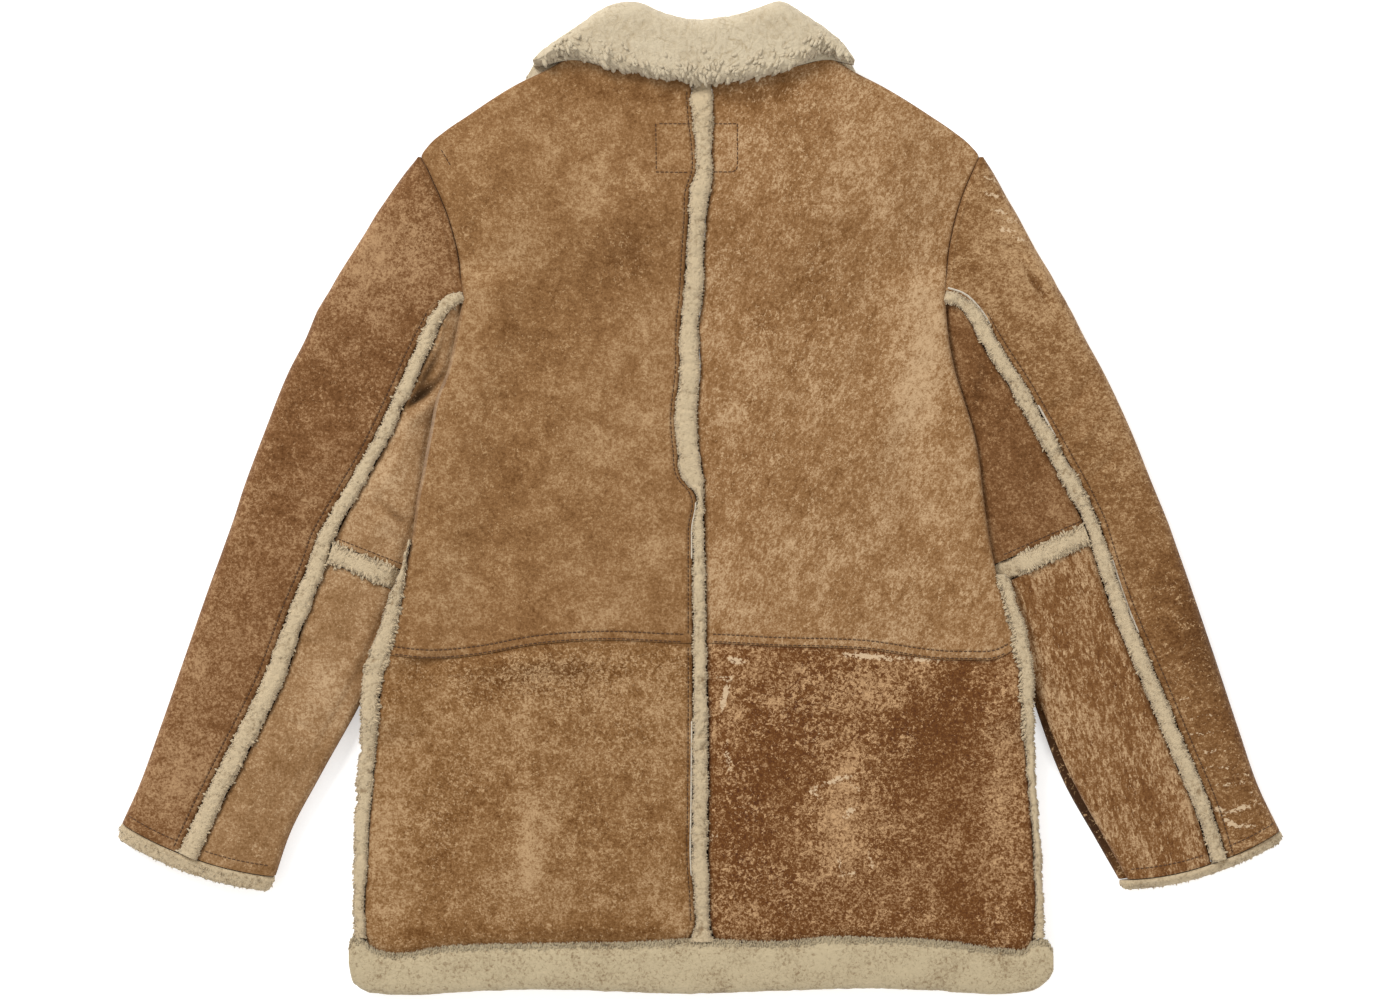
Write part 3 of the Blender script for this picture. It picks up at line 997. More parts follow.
def stitches(name, carrier, lines, length=3.0, gap=1.1, radius=0.36):
    """Short capsules along lines[k, 2], laid on the carrier's surface. Each is a four-sided tube,
    thin at both ends. With a gap below nothing they join into a cord."""
    ends = []
    for line in lines:
        fine = resample(np.asarray(line, float), 0.5)
        stride, reach = round((length + gap) / 0.5), round(length / 0.5)
        first = np.arange(0, len(fine) - reach, stride)
        ends.append(np.stack([fine[first], fine[first + reach]], axis=1))
    ends = np.concatenate(ends)
    points = []
    for start, finish in ends:
        pair = []
        for x, y in (start, finish):
            hit, place, _, _ = carrier.ray_cast((*((np.array([x, y]) + SHIFT[:2]) * 0.001), 0.2), (0, 0, -1))
            pair.append([x, y, place[2] * 1000 if hit else np.nan])
        points.append(pair)
    points = np.array(points)
    points = points[~np.isnan(points).any(axis=(1, 2))]
    way = unit(points[:, 1] - points[:, 0])
    side = unit(np.cross(way, [0, 0, 1]))
    rings = []
    for share, thick in ((0, 0.55), (0.12, 1), (0.88, 1), (1, 0.55)):
        centre = mix(points[:, 0], points[:, 1], share) + np.array([0, 0, 0.12 if thick < 1 else 0.3])
        turns = [side, np.cross(side, way), -side, -np.cross(side, way)]
        rings.append(np.stack([centre + turn * thick * radius for turn in turns], axis=1))
    body = np.stack(rings, axis=1)
    faces = []
    for r in range(3):
        faces += [[4 * r + k, 4 * r + (k + 1) % 4, 4 * r + 4 + (k + 1) % 4, 4 * r + 4 + k] for k in range(4)]
    faces += [[3, 2, 1, 0], [12, 13, 14, 15]]
    if (np.cross(body[0, 0, 1] - body[0, 0, 0], body[0, 1, 0] - body[0, 0, 0]) * (body[0, 0, 0] - body[0, 0].mean(axis=0))).sum() < 0:
        faces = [face[::-1] for face in faces]
    every = [[corner + 16 * k for corner in face] for k in range(len(body)) for face in faces]
    return make(name, body.reshape(-1, 3), every)

# Materials

def srgb(red, green, blue):
    """A picture's colour, 0 to 255, as the shader's own values."""
    c = np.array([red, green, blue]) / 255
    return (*np.where(c <= 0.04045, c / 12.92, ((c + 0.055) / 1.055) ** 2.4).tolist(), 1.0)


class Value:
    """A number that varies over a surface; its arithmetic adds Math nodes."""

    def __init__(self, look, socket):
        self.look, self.socket = look, socket

    def _math(self, operation, *others):
        return self.look.node("ShaderNodeMath", {"operation": operation}, dict(enumerate((self, *others))))

    def __add__(self, other):
        return self._math("ADD", other)

    def __mul__(self, other):
        return self._math("MULTIPLY", other)

    def __sub__(self, other):
        return self._math("SUBTRACT", other)

    def __rsub__(self, other):
        return self.look.node("ShaderNodeMath", {"operation": "SUBTRACT"}, {0: other, 1: self})

    def __abs__(self):
        return self._math("ABSOLUTE")

    def least(self, other):
        return self._math("MINIMUM", other)

    __radd__ = __add__
    __rmul__ = __mul__


class Look:
    """A material's node graph round one Principled shader."""

    def __init__(self, name, **constants):
        self.material = bpy.data.materials.new(name)
        self.material.use_nodes = True
        self.tree = self.material.node_tree
        self.shader = self.tree.nodes["Principled BSDF"]
        for key, value in constants.items():
            self.shader.inputs[key.replace("_", " ")].default_value = value
        self.place = self.node("ShaderNodeTexCoord", {}, {}, "Object")

    def node(self, kind, settings, inputs, output=0):
        node = self.tree.nodes.new(kind)
        for key, value in settings.items():
            if key == "stops":
                ramp = node.color_ramp.elements
                while len(ramp) < len(value):
                    ramp.new(0.5)
                for stop, (place, colour) in zip(ramp, value):
                    stop.position, stop.color = place, colour
            else:
                setattr(node, key, value)
        for key, value in inputs.items():
            if isinstance(value, Value):
                self.tree.links.new(value.socket, node.inputs[key])
            else:
                node.inputs[key].default_value = value
        return Value(self, node.outputs[output])

    def feed(self, key, value):
        self.tree.links.new(value.socket, self.shader.inputs[key])

    def attribute(self, name, output="Fac"):
        return self.node("ShaderNodeAttribute", {"attribute_name": name}, {}, output)

    def parts(self, vector):
        return [self.node("ShaderNodeSeparateXYZ", {}, {0: vector}, k) for k in range(3)]

    def turned(self, degrees, stretch):
        """The place, so turned and stretched that a pattern runs along a heading."""
        settings = {"Rotation": (0, 0, np.radians(degrees)), "Scale": (stretch, 1, 1)}
        return self.node("ShaderNodeMapping", {"vector_type": "TEXTURE"}, {"Vector": self.place, **settings})

    def noise(self, size, detail=2.0, roughness=0.5, place=None, distortion=0.0):
        """Noise from 0 to 1 with features of a size in millimetres."""
        inputs = {"Vector": place or self.place, "Scale": 1000.0 / size, "Detail": detail,
                  "Roughness": roughness, "Distortion": distortion}
        return self.node("ShaderNodeTexNoise", {}, inputs)

    def smooth(self, value, low, high, to_low=0.0, to_high=1.0):
        inputs = {"Value": value, "From Min": low, "From Max": high, "To Min": to_low, "To Max": to_high}
        return self.node("ShaderNodeMapRange", {"interpolation_type": "SMOOTHSTEP"}, inputs)

    def blend(self, share, first, second, kind="MIX"):
        settings = {"data_type": "RGBA", "blend_type": kind}
        return self.node("ShaderNodeMix", settings, {0: share, 6: first, 7: second}, 2)

    def bump(self, height, depth, strength=1.0):
        """Relief from a height of 0 to 1 that is so many millimetres deep."""
        inputs = {"Strength": strength, "Distance": depth * 0.001, "Height": height}
        self.feed("Normal", self.node("ShaderNodeBump", {}, inputs))


LIGHT = 1.21  # how much the studio's light raises a flat surface
GLOSS = 0.012  # what the shader's own shine adds


def seen(red, green, blue):
    """The paint that looks like a picture's colour in the studio's light."""
    c = np.maximum((np.array(srgb(red, green, blue)[:3]) - GLOSS) / LIGHT, 0.002)
    return (*c.tolist(), 1.0)


def suede(name, deep, middle, pale, flecks=0.3, fleck_size=2.4, streaks=0.0, heading=0.0,
          scars=False, patchy=1.0, grainy=1.0, sewn=()):
    """Dry sheepskin suede. One number, from deep to pale, is the sum of clouds, blots, grain and nap;
    short pale hairs and ragged flecks lie in drifts over it. It is
    darker along the seams, pressed in where it is sewn at a distance from an edge, and shows its
    white cut edge in places."""
    look = Look(name, Roughness=0.86, Sheen_Weight=0.08, Sheen_Roughness=0.5, Specular_IOR_Level=0.2)
    rim = look.parts(look.attribute("rim", "Vector"))
    shade, spots, marks, raw = (look.attribute(key) for key in ("shade", "flecks", "marks", "raw"))
    lie = look.turned(heading, 1 + streaks)
    cloud = look.noise(110, 2.0, 0.5)
    blot = look.noise(26, 3.0, 0.55, lie, 0.4)
    patch = look.noise(9, 3.0, 0.62, lie, 0.4)
    grain = look.noise(2.8, 3.0, 0.72, lie)
    nap = look.noise(1.5, 2.0, 0.7)
    level = 0.5 + shade * 0.45 + (cloud - 0.5) * (0.5 * patchy) + (blot - 0.5) * (0.7 * patchy)
    level = level + (patch - 0.5) * (0.7 * patchy) + (grain - 0.5) * (1.5 * grainy) + (nap - 0.5) * (1.1 * grainy)
    darkest = (*(0.4 * np.array(deep[:3])).tolist(), 1.0)
    colour = look.node("ShaderNodeValToRGB", {"stops": [(0.0, deep), (0.5, middle), (1.0, pale)]}, {0: level})
    colour = look.blend(look.smooth(shade, -0.35, -1.1), colour, darkest)
    drift = look.noise(34, 3.0, 0.6, lie, 0.6)
    ragged = look.noise(fleck_size, 3.0, 0.64, lie, 0.5)
    depth = (ragged - 0.5) + (drift - 0.5) * 0.35 + (patch - 0.5) * 0.4 + spots * 0.1 + (flecks - 0.62) * 0.22
    vein = abs(look.noise(5.2, 2.0, 0.62, lie, 1.0) - 0.5) - (nap - 0.5) * 0.06
    thin = look.smooth(vein, 0.045, 0.012) * look.smooth(depth, 0.0, 0.07)
    mask = thin * (0.6 + 0.4 * flecks) + look.smooth(depth, 0.09, 0.14) * (0.2 + 0.4 * flecks)
    mask = mask.least(0.92)
    colour = look.blend(mask, colour, pale)
    if scars:
        scar = look.smooth(marks + (ragged - 0.5) * 1.6 + (grain - 0.5) * 0.8, 0.4, 0.6)
        colour = look.blend(scar * 0.85, colour, seen(222, 194, 158))
    near = rim[0].least(rim[1]).least(rim[2])
    seam = look.smooth(near + (blot - 0.5) * 6, 3.5, 0.3)
    colour = look.blend(seam * 0.3, colour, deep)
    relief = nap * 0.4 + grain * 0.6
    for edge, distance in sewn:
        groove = look.smooth(abs(rim[edge] - distance), 1.7, 0.2)
        colour = look.blend(groove * 0.16, colour, deep)
        relief = relief - groove * 0.45
    cut = look.smooth(near + (grain - 0.5) * 1.5, 3.4, 2.6) * raw
    look.feed("Base Color", look.blend(cut, colour, seen(238, 229, 212)))
    look.feed("Roughness", 0.82 + (nap - 0.5) * 0.12 + mask * 0.06)
    look.bump(relief, 0.8)
    return look.material


def wool(name, light, dark, fibre=1.1, depth=0.9, curly=0.7, pits=0.0, clefts=0.0, level=0.5):
    """Matt fleece: darker in the valleys between the curls, warm and cool patches, fine crimped
    fibres, small dark pits, and thin wandering clefts."""
    look = Look(name, Roughness=0.95, Sheen_Weight=0.2, Sheen_Roughness=0.6, Specular_IOR_Level=0.1)
    pile = look.attribute("pile")
    fibres = look.noise(fibre, 3.0, 0.65, distortion=1.0)
    patch = look.noise(30, 2.0)
    curls = look.noise(2.6, 3.0, 0.62, distortion=0.6)
    tone = level + (pile - 0.55) * depth + (fibres - 0.5) * 0.5 + (patch - 0.5) * 0.4 + (curls - 0.5) * curly
    if pits:
        pit = look.smooth(look.noise(2.8, 2.0, 0.6, distortion=0.8) + (patch - 0.5) * 0.2, 0.46, 0.36)
        tone = tone - pit * pits
    if clefts:
        cleft = look.smooth(abs(look.noise(15, 2.0, 0.5, distortion=0.7) - 0.5), 0.05, 0.0)
        cleft = cleft * look.smooth(patch, 0.45, 0.62)
        tone = tone - cleft * clefts
    tips = (*(1.12 * np.array(light[:3])).tolist(), 1.0)
    colour = look.node("ShaderNodeValToRGB", {"stops": [(0.15, dark), (0.62, light), (1.0, tips)]}, {0: tone})
    look.feed("Base Color", colour)
    look.bump(fibres * 0.6 + curls * 1.1, 1.0)
    return look.material


def thread(name, light, dark):
    look = Look(name, Roughness=0.7)
    look.feed("Base Color", look.blend(look.noise(1.2, 1.0), light, dark))
    return look.material

# What shows where. Spots: x, y, heading, length, width, amount.
NO_SPOTS = np.zeros((0, 6))
SHADES = {
    "back_upper_left": table([
        [-150, 262, 20, 60, 30, -0.2], [-60, 215, 10, 40, 24, -0.34], [-40, 60, 80, 90, 40, 0.2],
        [-125, 175, 20, 60, 34, -0.16], [-170, 215, 50, 40, 26, 0.26], [-85, 265, 40, 34, 22, 0.16],
        [-160, 60, 75, 90, 34, -0.24], [-205, 150, 80, 60, 20, 0.2], [-110, -60, 10, 80, 30, 0.18],
        [-60, -100, 0, 70, 12, 0.16], [-225, 270, 50, 40, 24, 0.1], [-100, 345, 15, 50, 16, -0.1],
        [-20, 302, 0, 16, 18, 0.3], [-62, 349, -8, 62, 9, -0.26],
    ]),
    "back_upper_right": table([
        [190, 120, 84, 80, 24, 0.68], [150, 250, -10, 70, 50, 0.06], [60, 120, 80, 80, 30, -0.14],
        [90, 0, 10, 60, 40, -0.1], [30, -90, 0, 40, 16, 0.2], [140, 300, -20, 40, 30, 0.12],
        [50, 340, 0, 60, 14, -0.2], [225, 20, 78, 60, 14, 0.2], [150, -60, 60, 70, 24, -0.2],
        [110, 210, 60, 60, 34, -0.16],
        [22, 302, 0, 12, 18, 0.2], [58, 349, 10, 62, 9, -0.3],
    ]),
    "back_lower_left": table([
        [-151, -262, 88, 50, 6, 0.32], [-146, -320, 80, 40, 9, 0.26], [-140, -285, 80, 60, 26, 0.16], [-135, -148, 2, 125, 20, -0.46],
        [-60, -170, 10, 50, 26, 0.2], [-225, -300, 80, 80, 20, -0.3],
        [-270, -250, 90, 110, 12, 0.2], [-60, -330, 0, 60, 30, 0.06], [-100, -372, 0, 130, 9, -0.4],
        [-200, -180, 30, 50, 24, 0.12], [-40, -220, 90, 70, 18, 0.08],
    ]),
    "back_lower_right": table([
        [262, -250, 90, 120, 18, 0.2], [80, -200, 50, 70, 34, -0.16], [122, -275, 84, 70, 14, 0.24],
        [40, -280, 88, 60, 18, -0.24], [215, -190, 20, 60, 24, -0.2], [190, -330, 60, 50, 24, 0.1],
    ]),
    "sleeve_outer_left": table([
        [-290, 210, 50, 60, 30, 0.24], [-400, -120, 70, 80, 26, 0.1], [-455, -230, 72, 60, 34, 0.34],
        [-350, 60, 60, 60, 16, -0.14], [-440, -60, 70, 70, 10, -0.1],
    ]),
    "sleeve_outer_right": table([
        [292, 205, -55, 80, 40, 0.5], [370, 60, -62, 70, 30, 0.16], [440, -130, -70, 110, 40, -0.44],
        [290, 184, -57, 18, 2.2, -0.9], [326, -249, -64, 95, 12, -0.95],
    ]),
    "sleeve_under_upper_left": table([
        [-262, 50, 62, 40, 14, 0.35], [-230, 112, 66, 26, 8, -0.35], [-241, 89, 36, 20, 4.5, -0.8],
        [-238, 104, 62, 22, 3, -0.4], [-261, -15, -40, 17, 3.5, -0.5],
    ]),
    "sleeve_under_upper_right": table([[240, 100, 80, 60, 10, -0.4]]),
    "sleeve_under_lower_left": table([[-322, -176, 60, 34, 24, 0.45], [-380, -270, 62, 60, 40, -0.2]]),
}
FLECKS = {
    "back_upper_left": table([[-55, 275, 0, 40, 8, 0.8], [-45, 258, 90, 12, 20, 0.5], [-70, 220, 60, 60, 40, 0.2],
                              [-190, 40, 60, 80, 20, 0.6], [-215, 210, 80, 50, 16, 0.5]]),
    "back_upper_right": table([[110, 180, 70, 120, 60, 0.3], [190, 120, 84, 80, 30, 0.5]]),
    "back_lower_left": table([[-120, -154, 0, 120, 24, 1.0], [-150, -270, 88, 90, 20, 0.8],
                              [-60, -200, 60, 60, 30, 0.3]]),
    "back_lower_right": table([
        [100, -165, 0, 100, 24, 0.8], [122, -260, 84, 80, 24, 0.9], [215, -270, 90, 120, 26, -1.5],
        [60, -250, 90, 60, 20, -0.4], [40, -340, 20, 50, 20, 0.3], [165, -330, 30, 50, 24, -0.4],
    ]),
    "sleeve_outer_right": table([[285, 220, -55, 50, 22, 0.9], [440, -300, 0, 40, 12, 0.6]]),
    "sleeve_outer_left": table([[-290, 210, 55, 50, 26, 0.6], [-238, 225, 70, 60, 22, 0.9]]),
}
MARKS = {
    "sleeve_outer_right": table([
        [457, -244, 6, 22, 2.4, 0.6], [445.5, -266, -14, 9, 2.6, 0.75], [465, -265, 12, 13, 2.6, 0.75],
        [467, -280, 0, 15, 2.4, 0.8], [454, -276, -24, 7, 2.4, 0.7], [478, -256, -50, 9, 2.6, 0.6],
        [445, -230, 5, 18, 2.2, 0.55], [440, -216, 8, 20, 2.2, 0.5], [432, -201, 8, 20, 2.2, 0.5],
        [428, -186, 10, 18, 2.2, 0.48], [422, -170, 10, 16, 2.2, 0.45], [470, -236, 0, 12, 2.2, 0.5],
        [462, -306, 10, 10, 2.6, 0.42], [252, 262, -14, 10, 2.2, 0.75], [258, 248, -10, 11, 2.2, 0.75], [266, 240, -10, 9, 2.2, 0.65],
        [262, 232, -8, 12, 2.2, 0.7], [250, 276, -20, 9, 2.2, 0.6], [274, 224, -12, 10, 2.2, 0.65],
    ]),
    "back_lower_right": table([
        [143, -134, -4, 34, 3.4, 0.75], [200, -137, 0, 26, 3.4, 0.5], [31, -138, -8, 10, 2.8, 0.8],
        [19, -152, -10, 7, 2.8, 0.6], [21.5, -169, 75, 17, 3.0, 0.85], [24, -221, -83, 17, 3.4, 0.6],
        [117, -241, 20, 20, 3.2, 0.7], [129, -268, 41, 9, 3.2, 0.75], [100, -254, -35, 9, 3.0, 0.55],
        [133, -247, -55, 8, 3.0, 0.55], [119, -311, -80, 10, 3.0, 0.6], [146, -308, -75, 10, 3.0, 0.55],
        [131, -321, 10, 10, 3.0, 0.45], [12, -290, 10, 9, 4, 0.5], [105, -200, 40, 16, 6, 0.3],
    ]),
}
RAW_EDGES = {
    "back_upper_left": table([[-228, 60, 78, 70, 16, 0.14]]),
}

suede_upper_left = suede("suede_upper_left", seen(108, 72, 39), seen(147, 108, 69), seen(194, 159, 118), flecks=0.28, grainy=0.85,
                         sewn=((1, 4.2), (2, 7.6)))
suede_upper_right = suede("suede_upper_right", seen(116, 78, 42), seen(154, 114, 74), seen(206, 172, 132), flecks=0.45,
                          streaks=0.35, heading=60, sewn=((2, 7.6),))
suede_lower_left = suede("suede_lower_left", seen(104, 67, 33), seen(146, 107, 67), seen(198, 163, 122), flecks=0.5,
                         sewn=((1, 4.2),))
suede_lower_right = suede("suede_lower_right", seen(82, 47, 18), seen(116, 74, 38), seen(208, 168, 124), flecks=0.6,
                          fleck_size=3.2, scars=True, patchy=0.6, grainy=0.9)
suede_sleeve_dark = suede("suede_sleeve_dark", seen(94, 60, 31), seen(127, 88, 54), seen(176, 139, 100), flecks=0.42)
suede_sleeve_left = suede("suede_sleeve_left", seen(94, 60, 31), seen(128, 89, 55), seen(182, 145, 106), flecks=0.42,
                          sewn=((0, 6.0),))
suede_sleeve_light = suede("suede_sleeve_light", seen(126, 90, 53), seen(160, 123, 85), seen(204, 171, 132), flecks=0.35)
suede_sleeve_right = suede("suede_sleeve_right", seen(96, 61, 30), seen(138, 99, 61), seen(200, 164, 122), flecks=0.46,
                           streaks=0.25, heading=12, scars=True, patchy=0.75, grainy=0.9, sewn=((0, 6.0),))
suede_under_right = suede("suede_under_right", seen(96, 59, 28), seen(134, 93, 55), seen(206, 171, 130), flecks=0.6,
                          streaks=1.2, heading=-78)
suede_front = suede("suede_front", seen(118, 82, 50), seen(150, 111, 74), seen(186, 152, 114))
wool_collar = wool("wool_collar", srgb(198, 183, 155), srgb(161, 141, 109), depth=0.42, curly=0.5, clefts=0.26)
wool_edge = wool("wool_edge", srgb(191, 171, 138), srgb(143, 119, 87), depth=0.9, curly=1.2, pits=0.12, level=0.46)
wool_hem = wool("wool_hem", srgb(187, 170, 137), srgb(134, 111, 79), depth=0.4, pits=0.25)
stitch_thread = thread("stitch_thread", srgb(84, 52, 27), srgb(50, 30, 15))
cut_edge = thread("cut_edge", seen(240, 231, 214), seen(214, 200, 176))

arms = {"left": Arm(SLEEVE_LEFT), "right": Arm(SLEEVE_RIGHT, nearer=0.45)}
LAST_ROW = len(SLEEVE_LEFT) - 1

# Hide pieces: their maker, their finish and the cut of what shows, as width, length and flat area
made = {}


def hide(node, piece, slot, look, flat, area, rests_on, held="laid"):
    made[node] = (dress(piece, slot, look, node), flat, area, rests_on, held)


hide("back_upper_left", back_panel("hide_back_upper_left", UPPER_LEFT, -1, upper_bend, no_drop, 101),
     "hide", suede_upper_left, (0.265, 0.505), 0.107, "front_left")
hide("back_upper_right", back_panel("hide_back_upper_right", UPPER_RIGHT, 1, upper_bend, no_drop, 131),
     "hide", suede_upper_right, (0.275, 0.505), 0.111, "front_right")
hide("back_lower_left", back_panel("hide_back_lower_left", LOWER_LEFT, -1, lower_bend, lower_drop, 151),
     "hide", suede_lower_left, (0.285, 0.272), 0.070, "front_left")
hide("back_lower_right", back_panel("hide_back_lower_right", LOWER_RIGHT, 1, lower_bend, lower_drop, 171),
     "hide_dark", suede_lower_right, (0.285, 0.272), 0.070, "front_right")
hide("front_left", front_panel("hide_front_left", FRONT_LEFT, -1), "hide", suede_front, (0.297, 0.748), 0.168, "floor")
hide("front_right", front_panel("hide_front_right", FRONT_RIGHT, 1), "hide", suede_front, (0.293, 0.754), 0.169, "floor")
SLEEVE_CUTS = {
    "left": (((0.27, 0.63), 0.142), ((0.082, 0.232), 0.0121), ((0.084, 0.273), 0.0205)),
    "right": (((0.245, 0.635), 0.131), ((0.098, 0.223), 0.0148), ((0.098, 0.285), 0.0246)),
}  # top sleeve, all round; under sleeve above and below the elbow
for side, finishes in (("left", (suede_sleeve_left, suede_sleeve_light, suede_sleeve_light)),
                       ("right", (suede_sleeve_right, suede_sleeve_dark, suede_under_right))):
    arm, cuts = arms[side], SLEEVE_CUTS[side]
    hide(f"sleeve_outer_{side}", sleeve_piece(f"hide_sleeve_outer_{side}", arm, outer_outline, 0, LAST_ROW, 201),
         "hide", finishes[0], *cuts[0], "floor", "folded")
    hide(f"sleeve_under_upper_{side}",
         sleeve_piece(f"hide_sleeve_under_upper_{side}", arm, under_outline, ARMHOLE_ROWS + 1, ELBOW_ROW, 211),
         "hide" if side == "left" else "hide_dark", finishes[1], *cuts[1], f"sleeve_outer_{side}")
    hide(f"sleeve_under_lower_{side}",
         sleeve_piece(f"hide_sleeve_under_lower_{side}", arm, under_outline, ELBOW_ROW + 1, LAST_ROW, 221),
         "hide", finishes[2], *cuts[2], f"sleeve_outer_{side}")

# Fleece pieces
dress(centre_welt(), "fleece", wool_edge, "centre_back_welt")
dress(side_welt("pile_side_welt_left", UPPER_LEFT, LOWER_LEFT, SIDE_WELT_LEFT, -1, 301), "fleece", wool_edge, "side_welt_left")
dress(side_welt("pile_side_welt_right", UPPER_RIGHT, LOWER_RIGHT, SIDE_WELT_RIGHT, 1, 311), "fleece", wool_edge,
      "side_welt_right")
low_hem, hem_top = FRONT_WALL + 1.4, FRONT_WALL + 1.4 + HEM_BAND_BACK
dress(hem_band("pile_hem_band_back", -301.5, 304.5, low_hem, hem_top, 5200, 321), "fleece", wool_hem, "hem_band_back")
dress(hem_band("pile_hem_band_front_left", -293, -CENTRE_FRONT, 0.0, FRONT_WALL + 1.0, 900, 331), "fleece", wool_hem,
      "hem_band_front_left")
dress(hem_band("pile_hem_band_front_right", CENTRE_FRONT, 291, 0.0, FRONT_WALL + 1.0, 900, 341), "fleece", wool_hem,
      "hem_band_front_right")
dress(collar_back(), "fleece", wool_collar, "collar_back")
dress(collar_front("pile_collar_front_left", COLLAR_FRONT_LEFT, 351), "fleece", wool_collar, "collar_front_left")
dress(collar_front("pile_collar_front_right", COLLAR_FRONT_RIGHT, 361), "fleece", wool_collar, "collar_front_right")
for side, seed in (("left", 401), ("right", 431)):
    arm = arms[side]
    dress(sleeve_welt(f"pile_sleeve_welt_{side}", arm, seed), "fleece", wool_edge, f"sleeve_welt_{side}")
    dress(elbow_welt(f"pile_elbow_welt_{side}", arm, seed + 10), "fleece", wool_edge, f"elbow_welt_{side}")
    dress(cuff_rim(f"pile_cuff_rim_{side}", arm, seed + 20, 5.5 if side == "left" else 0.5), "fleece", wool_edge, f"cuff_rim_{side}")

# Stitch lines on the hide, each a run of places x, y
WAIST_RUN = np.linspace(0, 1, 24)


def beside_waist(from_x, to_x, rise):
    """A line at an even distance above the waist seam."""
    x = mix(from_x, to_x, WAIST_RUN)
    return np.stack([x, waist_seam(x) + rise], axis=-1)


def beside_centre(edge, from_y, to_y, shift):
    """A line beside the centre fleece edge."""
    y = mix(from_y, to_y, np.linspace(0, 1, 60))
    return np.stack([edge(y) + shift, y], axis=-1)


def beside_arm(arm, first, last, shift):
    """A line on a sleeve beside its seam's fleece edge."""
    sides = arm.half[first:last + 1] + abs(shift)
    distance = (sides if shift > 0 else -sides)[:, None]
    return arm.place(distance, 0.0, rows=slice(first, last + 1))[:, 0, :2]


def across_arm(arm, row, along, first=0.03, last=0.97, outside=True):
    """A line across a sleeve, parallel to a row of it."""
    if outside:
        ends = arm.half[row] + 3, arm.out[row] - 1
    else:
        ends = -arm.half[row] - 3, -arm.inner_width[row] + 3
    distance = mix(ends[0], ends[1], np.linspace(first, last, 14))[None]
    return arm.place(distance, 0.0, along, slice(row, row + 1))[0, :, :2]


BOX_LEFT, BOX_RIGHT, BOX_TOP, BOX_LOW = -38, 32, 322.5, 281
STITCH_LINES = {
    "back_upper_left": [
        beside_waist(-262, -14, 1.3), beside_waist(-264, -13, 7.6),
        beside_centre(centre_left, 350, -118, -4.2),
        [(-8, BOX_TOP), (BOX_LEFT, BOX_TOP)], [(BOX_LEFT, BOX_TOP), (BOX_LEFT + 0.5, BOX_LOW)],
        [(BOX_LEFT, BOX_LOW), (-8, BOX_LOW - 0.5)], [(-222.5, 301), (-213, 285)],
    ],
    "back_upper_right": [
        beside_waist(12, 264, 1.3), beside_waist(11, 266, 7.6),
        [(12, BOX_TOP), (BOX_RIGHT, BOX_TOP)],
        [(BOX_RIGHT, BOX_TOP), (BOX_RIGHT, BOX_LOW + 5)],
        [(BOX_RIGHT, BOX_LOW + 5), (BOX_RIGHT - 1.4, BOX_LOW + 1.4), (BOX_RIGHT - 5, BOX_LOW)],
        [(BOX_RIGHT - 5, BOX_LOW), (12, BOX_LOW)],
    ],
    "back_lower_left": [beside_centre(centre_left, -127, -362, -4.2)],
    "sleeve_outer_left": [beside_arm(arms["left"], 11, LAST_ROW, 6.0), across_arm(arms["left"], LAST_ROW, -9)],
    "sleeve_outer_right": [beside_arm(arms["right"], 11, LAST_ROW, 6.0), across_arm(arms["right"], LAST_ROW, -9)],
    "sleeve_under_upper_left": [across_arm(arms["left"], ELBOW_ROW, -4.5, 0.0, 0.86, outside=False)],
    "sleeve_under_upper_right": [across_arm(arms["right"], ELBOW_ROW, -4.5, 0.0, 0.86, outside=False)],
    "sleeve_under_lower_left": [across_arm(arms["left"], LAST_ROW, -9, outside=False)],
    "sleeve_under_lower_right": [across_arm(arms["right"], LAST_ROW, -9, outside=False)],
}


def along_welt(arm, from_y, to_y, away=1.1):
    """A line just outside a sleeve's fleece edge, between two heights on the coat."""
    fine, across = welt_path(arm)
    line = fine[:, :2] + across * (fine[:, 2:3] + away)
    return line[(line[:, 1] <= from_y) & (line[:, 1] >= to_y)]


HEM_CORNER = np.linspace(-283, -243, 12)
CUT_LINES = {
    "back_upper_left": [beside_centre(centre_left, -2, -54, -1.0)],
    "back_lower_left": [beside_centre(centre_left, -190, -326, -1.0),
                        np.stack([HEM_CORNER, hem_seam(HEM_CORNER) + 1.4], axis=-1)],
    "sleeve_outer_right": [along_welt(arms["right"], 186, 148), along_welt(arms["right"], 82, 52),
                           along_welt(arms["right"], -50, -116)],
}
sewn = {}
for node, lines in STITCH_LINES.items():
    sewn[node] = [dress(stitches(f"stitches_{node}", made[node][0], lines), "hide_dark", stitch_thread)]
for node, lines in CUT_LINES.items():
    edge = stitches(f"cut_edge_{node}", made[node][0], lines, length=7.0, gap=-1.0, radius=0.85)
    sewn[node].append(dress(edge, "hide", cut_edge))

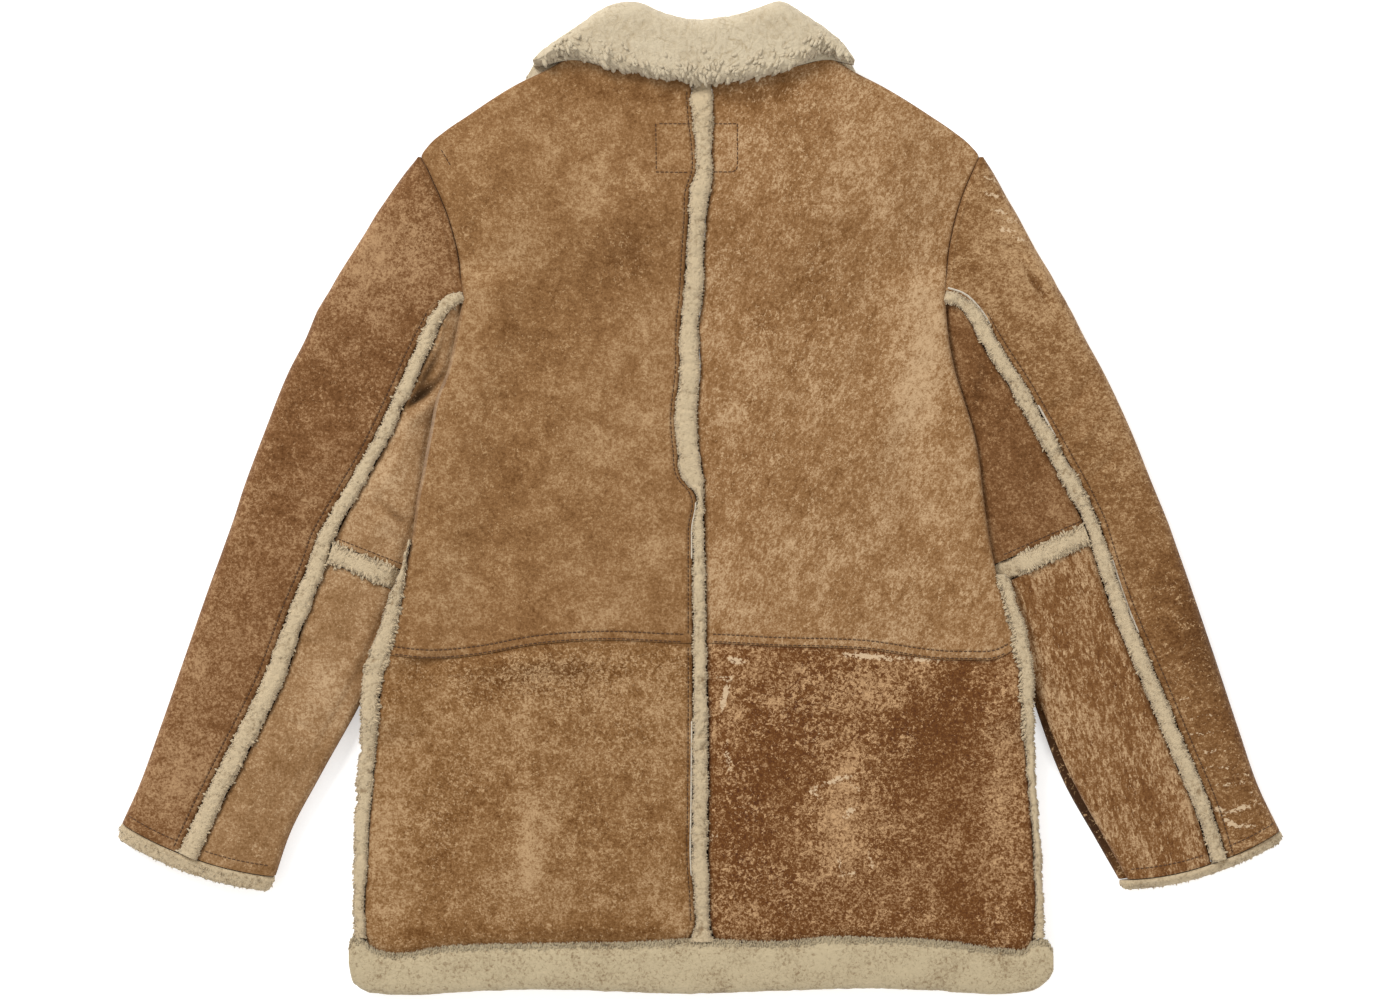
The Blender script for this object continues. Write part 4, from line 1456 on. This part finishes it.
# Every hide piece is a sheet of a stated cut
for node, (piece, flat, area, rests_on, held) in made.items():
    under = made[rests_on][0] if rests_on in made else "floor"

# Floor, light and camera
def floor():
    """A flat square just under the coat."""
    half = 6.0
    mesh = bpy.data.meshes.new("floor")
    mesh.from_pydata([(-half, -half, -0.0003), (half, -half, -0.0003), (half, half, -0.0003), (-half, half, -0.0003)],
                     [], [(0, 1, 2, 3)])
    piece = bpy.data.objects.new("floor", mesh)
    bpy.context.scene.collection.objects.link(piece)
    look = Look("floor_paint", Roughness=0.95, Specular_IOR_Level=0.1)
    look.feed("Base Color", look.blend(look.noise(120, 2.0), srgb(244, 244, 243), srgb(247, 247, 246)))
    look.shader.inputs["Emission Color"].default_value = (1, 1, 1, 1)
    look.shader.inputs["Emission Strength"].default_value = 0.42
    mesh.materials.append(look.material)


def lamp(name, place, target, size, power):
    """A square soft light that faces a target."""
    data = bpy.data.lights.new(name, "AREA")
    data.shape, data.size, data.energy = "SQUARE", size, power
    light = bpy.data.objects.new(name, data)
    light.location = place
    way = np.array(target) - np.array(place)
    light.rotation_euler = (np.arctan2(np.hypot(way[0], way[1]), -way[2]), 0, np.arctan2(way[0], -way[1]) + np.pi)
    bpy.context.scene.collection.objects.link(light)


floor()
lamp("key", (-2.2, 2.6, 2.8), (0, 0, 0), 1.6, 150)
lamp("fill", (2.6, -1.6, 3.0), (0, 0, 0), 2.6, 40)
world = bpy.data.worlds.new("studio")
world.use_nodes = True
world.node_tree.nodes["Background"].inputs["Color"].default_value = (1, 1, 1, 1)
world.node_tree.nodes["Background"].inputs["Strength"].default_value = 0.62
bpy.context.scene.world = world
bpy.context.scene.view_settings.view_transform = "Standard"

camera = bpy.data.objects.new("camera", bpy.data.cameras.new("camera"))
camera.data.lens, camera.data.sensor_width = LENS, SENSOR
camera.location = (*PICTURE_MIDDLE, COAT_LEVEL + IMAGE_WIDTH * LENS / SENSOR)
bpy.context.scene.collection.objects.link(camera)
bpy.context.scene.camera = camera
